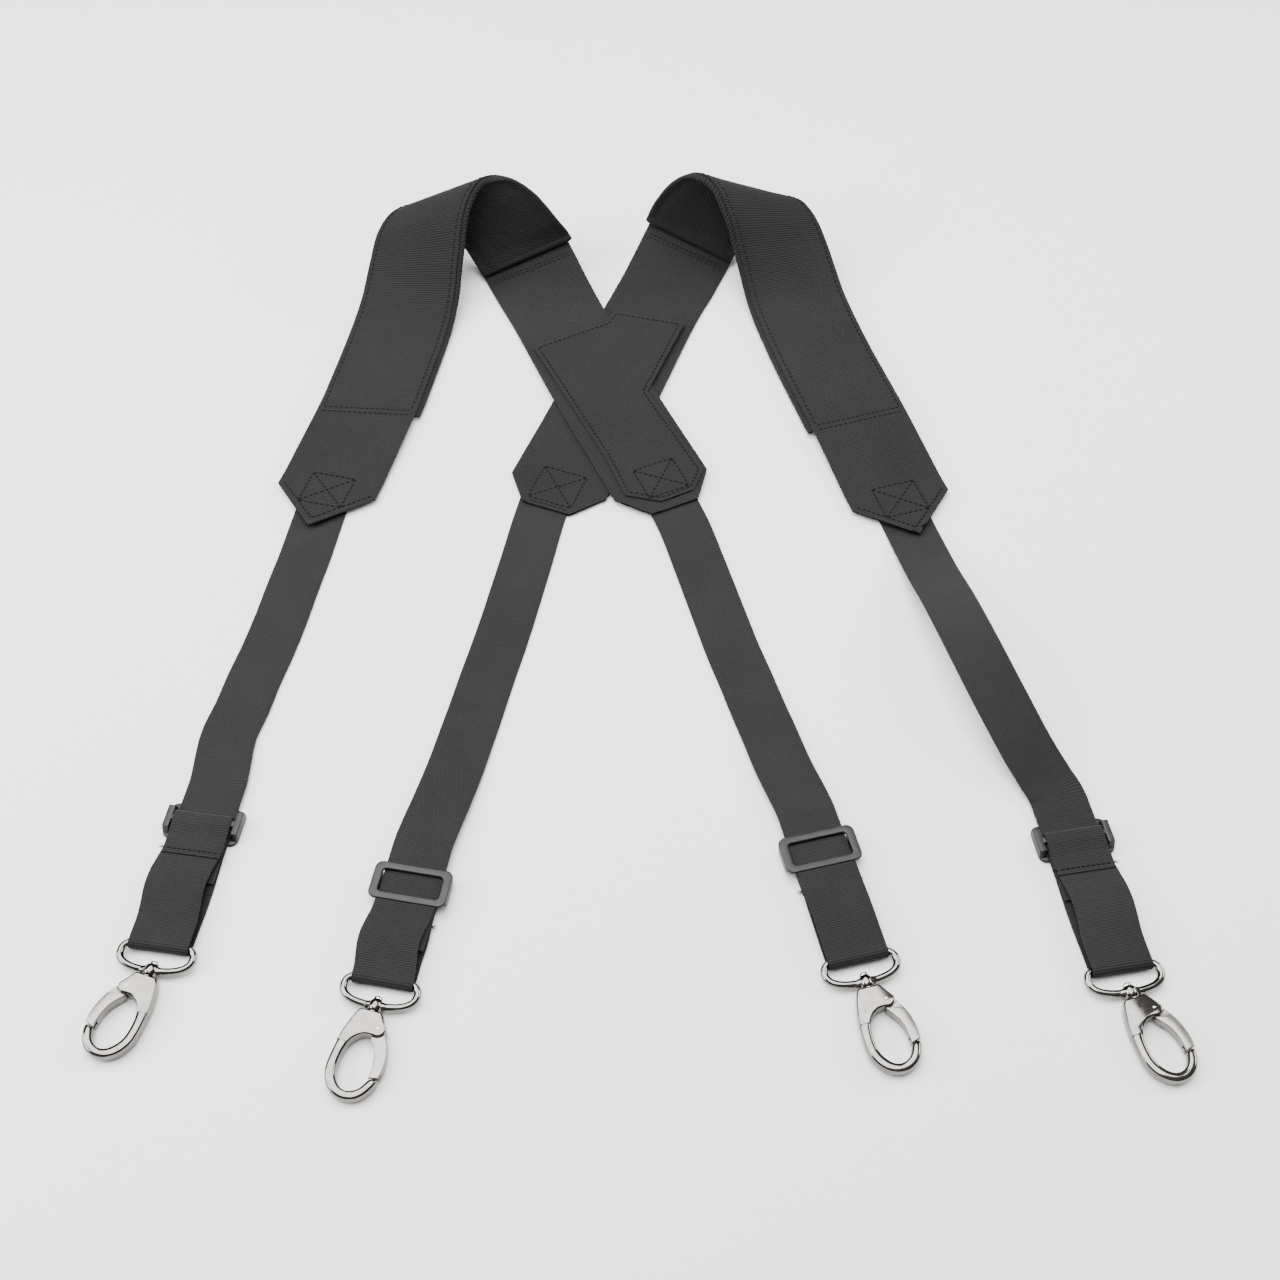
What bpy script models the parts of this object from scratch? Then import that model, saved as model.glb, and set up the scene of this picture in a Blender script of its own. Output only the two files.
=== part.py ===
"""Tool-belt suspenders, laid flat on their back straps with the shoulder loops folded over to the front.

Units are metres, +Z up, the floor is z = 0. X runs across the pair from left to right, the hooks point
to -Y. Each leg end (slider, end loop, ring and hook) is modelled in its own frame: X along the leg
towards the hook, Y across the webbing, Z through the layers, with Z = 0 on the middle plane of the stack.
"""

import math

import bmesh
import bpy
from mathutils import Matrix, Vector

# ---------------------------------------------------------------- driving dimensions
CLEARANCE = 0.0003            # gap between pieces that touch
PLY_GAP = 0.0006              # gap between the layers of a shoulder pad, which bend and twist together

SHOULDER_WIDTH = 0.076        # wide webbing over the shoulder
SHOULDER_THICK = 0.0016
PAD_OVERHANG = 0.0020         # foam and lining stand out past each edge of the webbing
FOAM_THICK = 0.0034
LINING_THICK = 0.0010
PATCH_THICK = 0.0012

LEG_WIDTH = 0.038             # narrow webbing of the legs
LEG_THICK = 0.0013

FRONT_TIP_REACH = 0.052       # pointed end of a front tab, from the last rung to its tip
FRONT_CORNER_REACH = 0.016    # the same to its corners
BACK_END_REACH = 0.024        # blunt end of a back tab
TIP_RISE = 0.0024             # a front tab's tip stands off the leg under it

BAR_THICK = 0.0022            # slider: end bars, through the layers
CENTRE_BAR_THICK = 0.0020
CENTRE_BAR_LENGTH = 0.0044    # along the leg
SLIDER_LENGTH = 0.026         # along the leg
RAIL_WIDTH = 0.0050           # side rails, across the leg
RAIL_PLAY = 0.0009            # webbing's edge to a rail
BAR_INSET = 0.001             # how far the centre bar is let into a rail
END_BAR_LENGTH = 0.0052       # along the leg
SLIDER_CORNER = 0.005

TONGUE_REACH = 0.042          # running webbing past the slider's middle, inside the end loop
STRAIGHT_RUN = 0.030          # running webbing kept straight ahead of the slider's middle
TAIL_REACH = 0.026            # sewn end of the loop, past the slider's middle
TAIL_STEP = 0.0010            # the tail rises to meet the return layer past the centre bar
TAIL_RISE = 0.0018
TAIL_RISE_RUN = 0.0100
RETURN_DIP = 0.0002           # play between the return layer and the running webbing
RING_RUN_IN = 0.0120          # where the return layer starts to spread round the ring
SLIDER_RUN_IN = 0.0140        # where it lies flat again before the slider

RING_WIRE = 0.0046            # diameter
RING_PLAY = 0.0014            # webbing's edge to the side of the ring
RING_DEPTH = 0.017            # bar to bow, wire centre to wire centre
RING_CORNER = 0.006
BOW_SQUARENESS = 0.8          # 1 is half an ellipse, less is squarer
BOSS_RADIUS = 0.0044
BOSS_LENGTH = 0.0072
BEAD_RADIUS = 0.0031          # swelling of the bow on both sides of the boss
BEAD_HALF_FLAT = 0.0020       # full width of the swelling, each way from the boss's middle
BEAD_REACH = 0.0090           # from the boss's middle to where it runs out in the wire
LOOP_BAR_GAP = 0.00075        # play of the ring's bar in the webbing loop

RIVET_RADIUS = 0.0016
RIVET_HEAD_RADIUS = 0.0030
RIVET_HEAD_THICK = 0.0022
RIVET_GRIP = 0.0060           # length inside the hook

HOOK_THICK = 0.0084
HOOK_EDGE = 0.0011            # chamfer round the outside of the hook
GATE_THICK = 0.0068
GATE_ROOT_THICK = 0.0030
GATE_ROOT_RADIUS = 0.0044
GATE_LIP_RADIUS = 0.0052      # rim of the hook's cheeks round the gate's pin
GATE_NOSE_RADIUS = 0.0312     # gate's free end, from its pin
GATE_GAP = 0.00045
GATE_REST_ANGLE = -12         # inner corner of the closed gate, seen from its pin, in degrees
GATE_SWEEP = 46               # room that the hook leaves below that corner, in degrees
GATE_PIN_RADIUS = 0.0010
SPRING_RADIUS = 0.0012
SPRING_LENGTH = 0.0050
TONGUE_THICK = 0.0024         # nose tongue that the gate's end closes over
TONGUE_DEPTH = 0.0028
TONGUE_HALF_SPAN = 0.0014
TONGUE_ANGLE = 17             # where the tongue stands, seen from the pin, in degrees
LIP_ANGLE = 95                # the gate's zone round the pin: its outer end at the lip, in degrees
NOSE_LOW_ANGLE = -9           # and its two ends at the nose
NOSE_HIGH_ANGLE = 42
NOSE_CLEAR_ANGLE = 70
SLOT_ROOM = 0.0006            # slot in the hook's cheeks past the lip
NOTCH_REACH = 0.0100          # notch in the gate's end, past the tongue
NOTCH_BACK = 0.0020           # and behind it, for the swing of the gate's corner
# Neck from the gate's root to its bar: distances and angles from the lip's rim and the pin.
GATE_NECK_CORE = 0.0015
GATE_NECK_REACH = 0.0025
GATE_NECK_STEP = 0.00003      # the neck is this much thinner than the root on each face

# Levels of the webbing's body side (or of a leg's underside) where the layers lie flat.
FLOOR_GAP = 0.0002
ONE_PLY = SHOULDER_THICK + CLEARANCE
OVER_LEG = LEG_THICK + CLEARANCE + SHOULDER_THICK
CROSSED = OVER_LEG + CLEARANCE + SHOULDER_THICK
PADDED = FLOOR_GAP + LINING_THICK + FOAM_THICK + 2 * PLY_GAP
FRONT_TAB_LIFT = 0.0011
FRONT_TAB = LEG_THICK + FRONT_TAB_LIFT

# Distances along the hook (from the middle of the boss) and across it (towards the gate).
HOOK_OUTLINE = [
    (0.0044, -0.0076), (0.0150, -0.0116), (0.0300, -0.0142), (0.0440, -0.0143), (0.0545, -0.0095),
    (0.0601, 0.0020), (0.0570, 0.0115), (0.0480, 0.0174), (0.0380, 0.0188), (0.0280, 0.0176),
    (0.0150, 0.0122), (0.0044, 0.0066),
]
EYE_OUTLINE = [
    (0.0195, 0.0000), (0.0250, -0.0058), (0.0360, -0.0082), (0.0450, -0.0076), (0.0518, -0.0030),
    (0.0541, 0.0030), (0.0515, 0.0085), (0.0450, 0.0120), (0.0370, 0.0124), (0.0290, 0.0106),
    (0.0222, 0.0060),
]
GATE_PIN_AT = Vector((0.0143, 0.0072))

# Rungs of the left shoulder strap, from the right back tab over the shoulder to the left front tab. Each is
# the left and the right end of a line across the webbing's body side.
LEFT_STRAP_RUNGS = [
    ((-0.0190, 0.0630, CROSSED), (0.0500, 0.0940, CROSSED)),
    ((-0.0610, 0.1540, CROSSED), (0.0080, 0.1850, CROSSED)),
    ((-0.0980, 0.2390, OVER_LEG), (-0.0220, 0.2560, CROSSED)),
    ((-0.1135, 0.2760, 0.0024), (-0.0410, 0.2970, 0.0080)),
    ((-0.1290, 0.3110, 0.0030), (-0.0600, 0.3360, 0.0200)),
    ((-0.1430, 0.3300, 0.0130), (-0.0700, 0.3400, 0.0390)),
    ((-0.1600, 0.3425, 0.0320), (-0.0880, 0.3450, 0.0620)),
    ((-0.1790, 0.3460, 0.0450), (-0.1110, 0.3480, 0.0745)),
    ((-0.1980, 0.3400, 0.0475), (-0.1310, 0.3410, 0.0745)),
    ((-0.2115, 0.3250, 0.0385), (-0.1425, 0.3200, 0.0620)),
    ((-0.2195, 0.3040, 0.0230), (-0.1465, 0.2930, 0.0380)),
    ((-0.2260, 0.2770, 0.0110), (-0.1490, 0.2660, 0.0170)),
    ((-0.2320, 0.2430, 0.0062), (-0.1550, 0.2360, 0.0066)),
    ((-0.2420, 0.1870, PADDED), (-0.1650, 0.1840, PADDED)),
    ((-0.2475, 0.1540, PADDED), (-0.1735, 0.1490, PADDED)),
    ((-0.2655, 0.0960, FRONT_TAB), (-0.1905, 0.0790, FRONT_TAB)),
]
# The right shoulder strap, from the left back tab over the shoulder to the right front tab.
RIGHT_STRAP_RUNGS = [
    ((-0.0960, 0.0925, OVER_LEG), (-0.0250, 0.0656, OVER_LEG)),
    ((-0.0670, 0.1680, OVER_LEG), (0.0040, 0.1410, OVER_LEG)),
    ((-0.0290, 0.2730, ONE_PLY), (0.0410, 0.2470, ONE_PLY)),
    ((-0.0110, 0.3160, 0.0070), (0.0585, 0.2880, ONE_PLY)),
    ((0.0080, 0.3600, 0.0200), (0.0760, 0.3290, 0.0030)),
    ((0.0170, 0.3620, 0.0390), (0.0850, 0.3440, 0.0140)),
    ((0.0290, 0.3595, 0.0600), (0.0985, 0.3520, 0.0320)),
    ((0.0450, 0.3530, 0.0740), (0.1140, 0.3560, 0.0450)),
    ((0.0610, 0.3400, 0.0725), (0.1300, 0.3530, 0.0475)),
    ((0.0720, 0.3210, 0.0560), (0.1440, 0.3420, 0.0390)),
    ((0.0800, 0.3030, 0.0330), (0.1545, 0.3260, 0.0250)),
    ((0.0860, 0.2830, 0.0160), (0.1625, 0.3050, 0.0140)),
    ((0.0920, 0.2600, 0.0078), (0.1695, 0.2790, 0.0078)),
    ((0.1070, 0.2060, PADDED), (0.1840, 0.2260, PADDED)),
    ((0.1310, 0.1320, PADDED), (0.2045, 0.1545, PADDED)),
    ((0.1520, 0.0680, FRONT_TAB), (0.2230, 0.0890, FRONT_TAB)),
]
PAD_FIRST_RUNG = 4            # seam where the pad starts, behind the shoulder
PAD_LAST_RUNG = 14            # stitch line where the pad ends, at the front

# Middle of the whole layout's box, which becomes the origin.
LAYOUT_CENTRE = Vector((-0.00155, -0.01627, 0.0))

# Patch over the crossing and down to the right back tab, as an outline seen from above.
PATCH_OUTLINE = [
    (-0.0850, 0.2240), (-0.0280, 0.2530), (-0.0210, 0.2660), (0.0360, 0.2520), (0.0060, 0.1740),
    (0.0475, 0.0920), (0.0400, 0.0720), (0.0160, 0.0600), (-0.0110, 0.0660), (-0.0260, 0.1040),
]

# Legs: slider's middle, ring bar's middle, the route of the webbing from its tab to the slider (x, y, z of
# its underside), which side faces up, and how the hook lies in its swivel.
LEGS = {
    "front_left": {
        "slider": (-0.2790, -0.2120), "ring": (-0.2920, -0.2990), "flipped": True,
        "route": [(-0.2325, 0.0700, 0.0), (-0.2360, 0.0480, 0.0), (-0.2395, 0.0250, 0.0),
                  (-0.2420, 0.0090, 0.0), (-0.2470, -0.0180, 0.0), (-0.2515, -0.0450, 0.0),
                  (-0.2570, -0.0720, 0.0), (-0.2630, -0.0970, 0.0003), (-0.2680, -0.1220, 0.0008),
                  (-0.2735, -0.1460, 0.0015)],
        "hook_tilt": -12.0, "hook_roll": 0.0,
    },
    "back_left": {
        "slider": (-0.1425, -0.2590), "ring": (-0.1540, -0.3220), "flipped": False,
        "route": [(-0.0650, 0.0880, 0.0), (-0.0700, 0.0660, 0.0), (-0.0760, 0.0380, 0.0),
                  (-0.0815, 0.0090, 0.0), (-0.0870, -0.0180, 0.0), (-0.0925, -0.0450, 0.0),
                  (-0.0985, -0.0720, 0.0), (-0.1045, -0.0970, 0.0), (-0.1100, -0.1220, 0.0004),
                  (-0.1155, -0.1460, 0.0010), (-0.1210, -0.1700, 0.0020), (-0.1270, -0.1930, 0.0035)],
        "hook_tilt": -5.0, "hook_roll": 0.0,
    },
    "back_right": {
        "slider": (0.1135, -0.2340), "ring": (0.1315, -0.3068), "flipped": False,
        "route": [(0.0150, 0.0900, ONE_PLY), (0.0220, 0.0670, ONE_PLY), (0.0330, 0.0380, 0.0006),
                  (0.0415, 0.0090, 0.0), (0.0490, -0.0180, 0.0), (0.0565, -0.0450, 0.0),
                  (0.0640, -0.0720, 0.0), (0.0720, -0.0970, 0.0), (0.0795, -0.1220, 0.0005),
                  (0.0870, -0.1460, 0.0015), (0.0940, -0.1700, 0.0032)],
        "hook_tilt": 1.0, "hook_roll": 0.0,
    },
    "front_right": {
        "slider": (0.2753, -0.2235), "ring": (0.2901, -0.3131), "flipped": True,
        "route": [(0.1900, 0.0640, 0.0), (0.1970, 0.0380, 0.0004), (0.2030, 0.0120, 0.0040),
                  (0.2080, -0.0150, 0.0110), (0.2140, -0.0430, 0.0190), (0.2200, -0.0700, 0.0240),
                  (0.2265, -0.0950, 0.0260), (0.2345, -0.1190, 0.0240), (0.2440, -0.1420, 0.0185),
                  (0.2540, -0.1620, 0.0110), (0.2635, -0.1790, 0.0050)],
        "hook_tilt": 9.0, "hook_roll": math.pi,
    },
}

# ---------------------------------------------------------------- values that follow from them
# Layers at the slider, from the middle plane: the running webbing, the return layer of the loop, the bars.
STACK = BAR_THICK + CENTRE_BAR_THICK + LEG_THICK * 3 + CLEARANCE * 4
END_BAR_LOW = STACK / 2 - BAR_THICK
RUNNING_LOW = END_BAR_LOW - CLEARANCE - LEG_THICK
RETURN_LOW = RUNNING_LOW - CLEARANCE - LEG_THICK
CENTRE_BAR_LOW = RETURN_LOW - CLEARANCE - CENTRE_BAR_THICK
TAIL_MID = CENTRE_BAR_LOW - CLEARANCE - LEG_THICK / 2
RETURN_MID = RETURN_LOW + LEG_THICK / 2
MIDDLE_PLANE = max(STACK / 2, HOOK_THICK / 2, BOSS_RADIUS)
WRAP_RADIUS = RING_WIRE / 2 + LOOP_BAR_GAP + LEG_THICK / 2
RAIL_INSIDE = LEG_WIDTH / 2 + RAIL_PLAY
SLIDER_WIDTH = 2 * (RAIL_INSIDE + RAIL_WIDTH)
RING_WIDTH = LEG_WIDTH + 2 * (RING_PLAY + RING_WIRE)
PAD_WIDTH = SHOULDER_WIDTH + 2 * PAD_OVERHANG
SWIVEL_PLAY = CLEARANCE


# ---------------------------------------------------------------- shared helpers
def clear_scene():
    """Remove everything that a new file starts with."""
    for obj in list(bpy.data.objects):
        bpy.data.objects.remove(obj, do_unlink=True)


def material(name, colour, roughness, metallic=0.0):
    """A plain Principled material."""
    made = bpy.data.materials.new(name)
    made.use_nodes = True
    shader = made.node_tree.nodes["Principled BSDF"]
    shader.inputs["Base Color"].default_value = (*colour, 1.0)
    shader.inputs["Roughness"].default_value = roughness
    shader.inputs["Metallic"].default_value = metallic
    return made


def add_object(name, bm, finish, parent=None):
    """Turn a bmesh into a named object with its own copy of a finish."""
    bmesh.ops.recalc_face_normals(bm, faces=bm.faces)
    if bm.calc_volume(signed=True) < 0:
        bmesh.ops.reverse_faces(bm, faces=bm.faces)
    mesh = bpy.data.meshes.new(name)
    bm.to_mesh(mesh)
    bm.free()
    obj = bpy.data.objects.new(name, mesh)
    bpy.context.collection.objects.link(obj)
    obj.data.materials.append(material(name, *finish))
    obj.parent = parent
    return obj


def add_empty(name, location, rotation=(0.0, 0.0, 0.0), parent=None):
    """A frame to hang pieces on."""
    empty = bpy.data.objects.new(name, None)
    empty.empty_display_size = 0.01
    empty.location = location
    empty.rotation_euler = rotation
    empty.parent = parent
    bpy.context.collection.objects.link(empty)
    return empty


def boolean(target, cutter, operation):
    """Combine two objects; the second one is only a tool."""
    cutter.hide_render = True
    cutter.display_type = "WIRE"
    modifier = target.modifiers.new(cutter.name, "BOOLEAN")
    modifier.operation = operation
    modifier.object = cutter
    return modifier


def smooth_shading(obj, angle=math.radians(35)):
    obj.data.shade_smooth()
    obj.data.set_sharp_from_angle(angle=angle)


def spline_point(points, at):
    """Catmull-Rom curve through a list of vectors; whole numbers fall on the points."""
    last = len(points) - 1
    start = min(max(int(math.floor(at)), 0), last - 1)
    t = at - start
    p1 = points[start]
    p2 = points[start + 1]
    p0 = points[start - 1] if start > 0 else p1 * 2 - p2
    p3 = points[start + 2] if start + 2 <= last else p2 * 2 - p1
    return 0.5 * (
        p1 * 2
        + (p2 - p0) * t
        + (p0 * 2 - p1 * 5 + p2 * 4 - p3) * t * t
        + (p1 * 3 - p0 - p2 * 3 + p3) * t * t * t
    )


def sheet_mesh(place, rows, columns, low, high):
    """A closed sheet: a grid, given thickness, and bent to place(row, column, lift)."""
    bm = bmesh.new()
    bmesh.ops.create_grid(bm, x_segments=len(columns) - 1, y_segments=len(rows) - 1, size=0.5)
    made = bmesh.ops.extrude_face_region(bm, geom=bm.faces[:])
    raised = {item for item in made["geom"] if isinstance(item, bmesh.types.BMVert)}
    for vert in bm.verts:
        row = rows[round((vert.co.y + 0.5) * (len(rows) - 1))]
        column = columns[round((vert.co.x + 0.5) * (len(columns) - 1))]
        vert.co = place(row, column, high if vert in raised else low)
    return bm


def plate_mesh(outline, low, high):
    """A flat outline, extruded through its thickness."""
    bm = bmesh.new()
    corners = [bm.verts.new((x, y, low)) for x, y in outline]
    face = bm.faces.new(corners)
    made = bmesh.ops.extrude_face_region(bm, geom=[face])
    raised = [item for item in made["geom"] if isinstance(item, bmesh.types.BMVert)]
    bmesh.ops.translate(bm, vec=(0, 0, high - low), verts=raised)
    return bm


def box_mesh(low, high):
    """A box between two corners."""
    bm = bmesh.new()
    bmesh.ops.create_cube(bm, size=1.0)
    low = Vector(low)
    size = Vector(high) - low
    bmesh.ops.transform(bm, matrix=Matrix.Diagonal((*size, 1.0)), verts=bm.verts)
    bmesh.ops.translate(bm, vec=low + size / 2, verts=bm.verts)
    return bm


def rod_mesh(start, end, radius, sides=16):
    """A round rod between two points."""
    start = Vector(start)
    axis = Vector(end) - start
    turn = Vector((0, 0, 1)).rotation_difference(axis).to_matrix().to_4x4()
    bm = bmesh.new()
    bmesh.ops.create_cone(
        bm, cap_ends=True, segments=sides, radius1=radius, radius2=radius, depth=axis.length,
        matrix=Matrix.Translation(start + axis / 2) @ turn,
    )
    return bm


def even_steps(first, last, count):
    """Numbers from first to last, ends included."""
    return [first + (last - first) * step / count for step in range(count + 1)]


def arc(centre, radius, start, end, count):
    """Points along an arc, angles in degrees."""
    return [
        Vector((centre[0] + radius * math.cos(math.radians(angle)),
                centre[1] + radius * math.sin(math.radians(angle))))
        for angle in even_steps(start, end, count)
    ]


# ---------------------------------------------------------------- shoulder straps and pads
WEBBING_FINISH = ((0.045, 0.045, 0.047), 0.85)
LEG_FINISH = ((0.052, 0.052, 0.055), 0.82)
LINING_FINISH = ((0.018, 0.018, 0.019), 0.95)
FOAM_FINISH = ((0.06, 0.06, 0.06), 0.95)
PLASTIC_FINISH = ((0.025, 0.026, 0.028), 0.45)
METAL_FINISH = ((0.33, 0.31, 0.30), 0.22, 1.0)


class Strap:
    """Wide webbing through a ladder of rungs, with its body side on the rungs."""

    def __init__(self, rungs, width):
        self.left = [Vector(rung[0]) for rung in rungs]
        self.right = [Vector(rung[1]) for rung in rungs]
        self.half = width / 2
        self.last = len(rungs) - 1

    def middle(self, at):
        return (spline_point(self.left, at) + spline_point(self.right, at)) / 2

    def frame(self, at):
        """Middle, direction along, direction across and outward normal."""
        step = 0.01
        along = (self.middle(min(at + step, self.last)) - self.middle(max(at - step, 0))).normalized()
        across = spline_point(self.right, at) - spline_point(self.left, at)
        normal = along.cross(across).normalized()
        return self.middle(at), along, across.normalized(), normal

    def place(self, at, across, lift, half=None):
        """A point of the webbing; a row may be (end, reach) to go straight on past a tab's last rung."""
        overrun = 0.0
        if isinstance(at, tuple):
            at, reach = at
            overrun = reach(across)
        middle, along, sideways, normal = self.frame(at)
        if at == 0:
            overrun = -overrun
        level = Vector((along.x, along.y, 0.0)).normalized() * overrun
        rise = Vector((0, 0, TIP_RISE * max(overrun, 0.0) / FRONT_TIP_REACH))
        return middle + sideways * across * (half or self.half) + level + rise + normal * lift


def front_tab_reach(across):
    """Pointed end: corners near the rung, tip in the middle."""
    return FRONT_TIP_REACH - (FRONT_TIP_REACH - FRONT_CORNER_REACH) * abs(across)


def back_tab_reach(across):
    """Blunt end: full width at the rung, half of it at the end."""
    return BACK_END_REACH * min(1.0, 2 * (1 - abs(across)))


def build_shoulder(side, rungs):
    """Webbing, foam and lining of one shoulder."""
    strap = Strap(rungs, SHOULDER_WIDTH)
    rows = even_steps(0, strap.last, strap.last * 4)
    rows = [(0, back_tab_reach)] + rows + [(strap.last, front_tab_reach)]
    webbing = sheet_mesh(strap.place, rows, (-1, -0.5, 0, 0.5, 1), 0.0, SHOULDER_THICK)
    smooth_shading(add_object(f"{side}_shoulder_strap", webbing, WEBBING_FINISH))

    def place_pad(at, across, lift):
        return strap.place(at, across, lift, PAD_WIDTH / 2)

    rows = even_steps(PAD_FIRST_RUNG, PAD_LAST_RUNG, (PAD_LAST_RUNG - PAD_FIRST_RUNG) * 4)
    foam_top = -PLY_GAP
    foam_low = foam_top - FOAM_THICK
    lining_top = foam_low - PLY_GAP
    columns = (-1, -0.5, 0, 0.5, 1)
    foam = sheet_mesh(place_pad, rows, columns, foam_low, foam_top)
    smooth_shading(add_object(f"{side}_pad_foam", foam, FOAM_FINISH))
    lining = sheet_mesh(place_pad, rows, columns, lining_top - LINING_THICK, lining_top)
    smooth_shading(add_object(f"{side}_pad_lining", lining, LINING_FINISH))
    return strap


def build_patch(strap):
    """Patch over the crossing, resting on the upper strap."""
    low = strap.middle(1)[2] + CLEARANCE
    add_object("back_patch", plate_mesh(PATCH_OUTLINE, low, low + PATCH_THICK), WEBBING_FINISH)


# ---------------------------------------------------------------- leg ends
def leg_frame(name, leg):
    """Empties on the slider's middle, the ring's bar, the swivel and the gate's pin."""
    slider = Vector((*leg["slider"], MIDDLE_PLANE))
    ring = Vector((*leg["ring"], MIDDLE_PLANE))
    run = ring - slider
    heading = math.atan2(run.y, run.x)
    roll = math.pi if leg["flipped"] else 0.0
    adjuster = add_empty(f"{name}_adjuster_frame", slider, (roll, 0.0, heading))
    bar = add_empty(f"{name}_ring_frame", (run.length, 0.0, 0.0), parent=adjuster)
    tilt = math.radians(leg["hook_tilt"])
    if leg["flipped"]:
        tilt = -tilt
    swivel = add_empty(
        f"{name}_hook_frame", (RING_DEPTH, 0.0, 0.0), (leg["hook_roll"], 0.0, tilt), parent=bar
    )
    gate = add_empty(f"{name}_gate_frame", (*GATE_PIN_AT, 0.0), parent=swivel)
    return {"adjuster": adjuster, "ring": bar, "swivel": swivel, "gate": gate, "run": run.length}


def build_leg_webbing(name, leg, frames):
    """Running webbing: from under its tab to the slider and on into the end loop."""
    slider = Vector((*leg["slider"], 0.0))
    heading = (Vector((*leg["ring"], 0.0)) - slider).normalized()
    level = MIDDLE_PLANE + RUNNING_LOW
    if leg["flipped"]:
        level = MIDDLE_PLANE - RUNNING_LOW - LEG_THICK
    route = [Vector(point) for point in leg["route"]]
    straight = [
        slider + heading * reach + Vector((0, 0, level)) for reach in (-STRAIGHT_RUN, 0.0, TONGUE_REACH)
    ]
    points = route + straight
    bend_end = len(route)

    def place(at, across, lift):
        if at >= bend_end:
            middle = straight[0].lerp(straight[2], at - bend_end)
            along = heading
        else:
            middle = spline_point(points, at)
            along = spline_point(points, at + 0.01) - spline_point(points, max(at - 0.01, 0))
        along.normalize()
        sideways = Vector((0, 0, 1)).cross(along).normalized()
        normal = along.cross(sideways)
        return middle + sideways * across * LEG_WIDTH / 2 + normal * lift

    rows = even_steps(0, bend_end, bend_end * 3) + [bend_end + 1]
    webbing = sheet_mesh(place, rows, (-1, 0, 1), 0.0, LEG_THICK)
    smooth_shading(add_object(f"{name}_leg_webbing", webbing, LEG_FINISH))


def loop_centreline(run):
    """Side view of the end loop: outward layer, round the ring's bar, back, round the slider's bar, tail."""
    start = SLIDER_LENGTH / 2 + CLEARANCE
    points = even_line((start, WRAP_RADIUS), (run, WRAP_RADIUS), 3)
    points += arc((run, 0.0), WRAP_RADIUS, 75, -90, 11)
    points += even_line(
        (run - RING_RUN_IN, -WRAP_RADIUS + CLEARANCE), (SLIDER_RUN_IN, RETURN_MID - RETURN_DIP), 3
    )
    points += [Vector((SLIDER_LENGTH / 2 - END_BAR_LENGTH, RETURN_MID)), Vector((0.0, RETURN_MID))]
    bend = (RETURN_MID - TAIL_MID) / 2
    bend_centre = (-CENTRE_BAR_LENGTH / 2, (RETURN_MID + TAIL_MID) / 2)
    points += arc(bend_centre, bend, 90, 270, 8)
    bar_edge = CENTRE_BAR_LENGTH / 2
    points += [
        Vector((bar_edge + LOOP_BAR_GAP, TAIL_MID)),
        Vector((bar_edge + TAIL_RISE_RUN / 2, TAIL_MID + TAIL_STEP)),
        Vector((bar_edge + TAIL_RISE_RUN, TAIL_MID + TAIL_RISE)),
        Vector((TAIL_REACH, TAIL_MID + TAIL_RISE - RETURN_DIP)),
    ]
    return points


def even_line(start, end, count):
    """Points along a straight line."""
    start = Vector(start)
    end = Vector(end)
    return [start.lerp(end, step / count) for step in range(count + 1)]


def build_end_loop(name, frames):
    """Doubled webbing between the slider and the ring."""
    line = loop_centreline(frames["run"])

    def place(row, across, lift):
        before = line[max(row - 1, 0)]
        after = line[min(row + 1, len(line) - 1)]
        along = (after - before).normalized()
        normal = Vector((-along.y, along.x))
        # Keep the thickness of the layer through a bend.
        if 0 < row < len(line) - 1:
            half_turn = (line[row] - before).angle(after - line[row], 0.0) / 2
            lift = lift / math.cos(half_turn)
        at = line[row] + normal * lift
        return Vector((at.x, across * LEG_WIDTH / 2, at.y))

    loop = sheet_mesh(place, list(range(len(line))), (-1, 1), -LEG_THICK / 2, LEG_THICK / 2)
    smooth_shading(add_object(f"{name}_end_loop", loop, LEG_FINISH, frames["adjuster"]))


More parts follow.
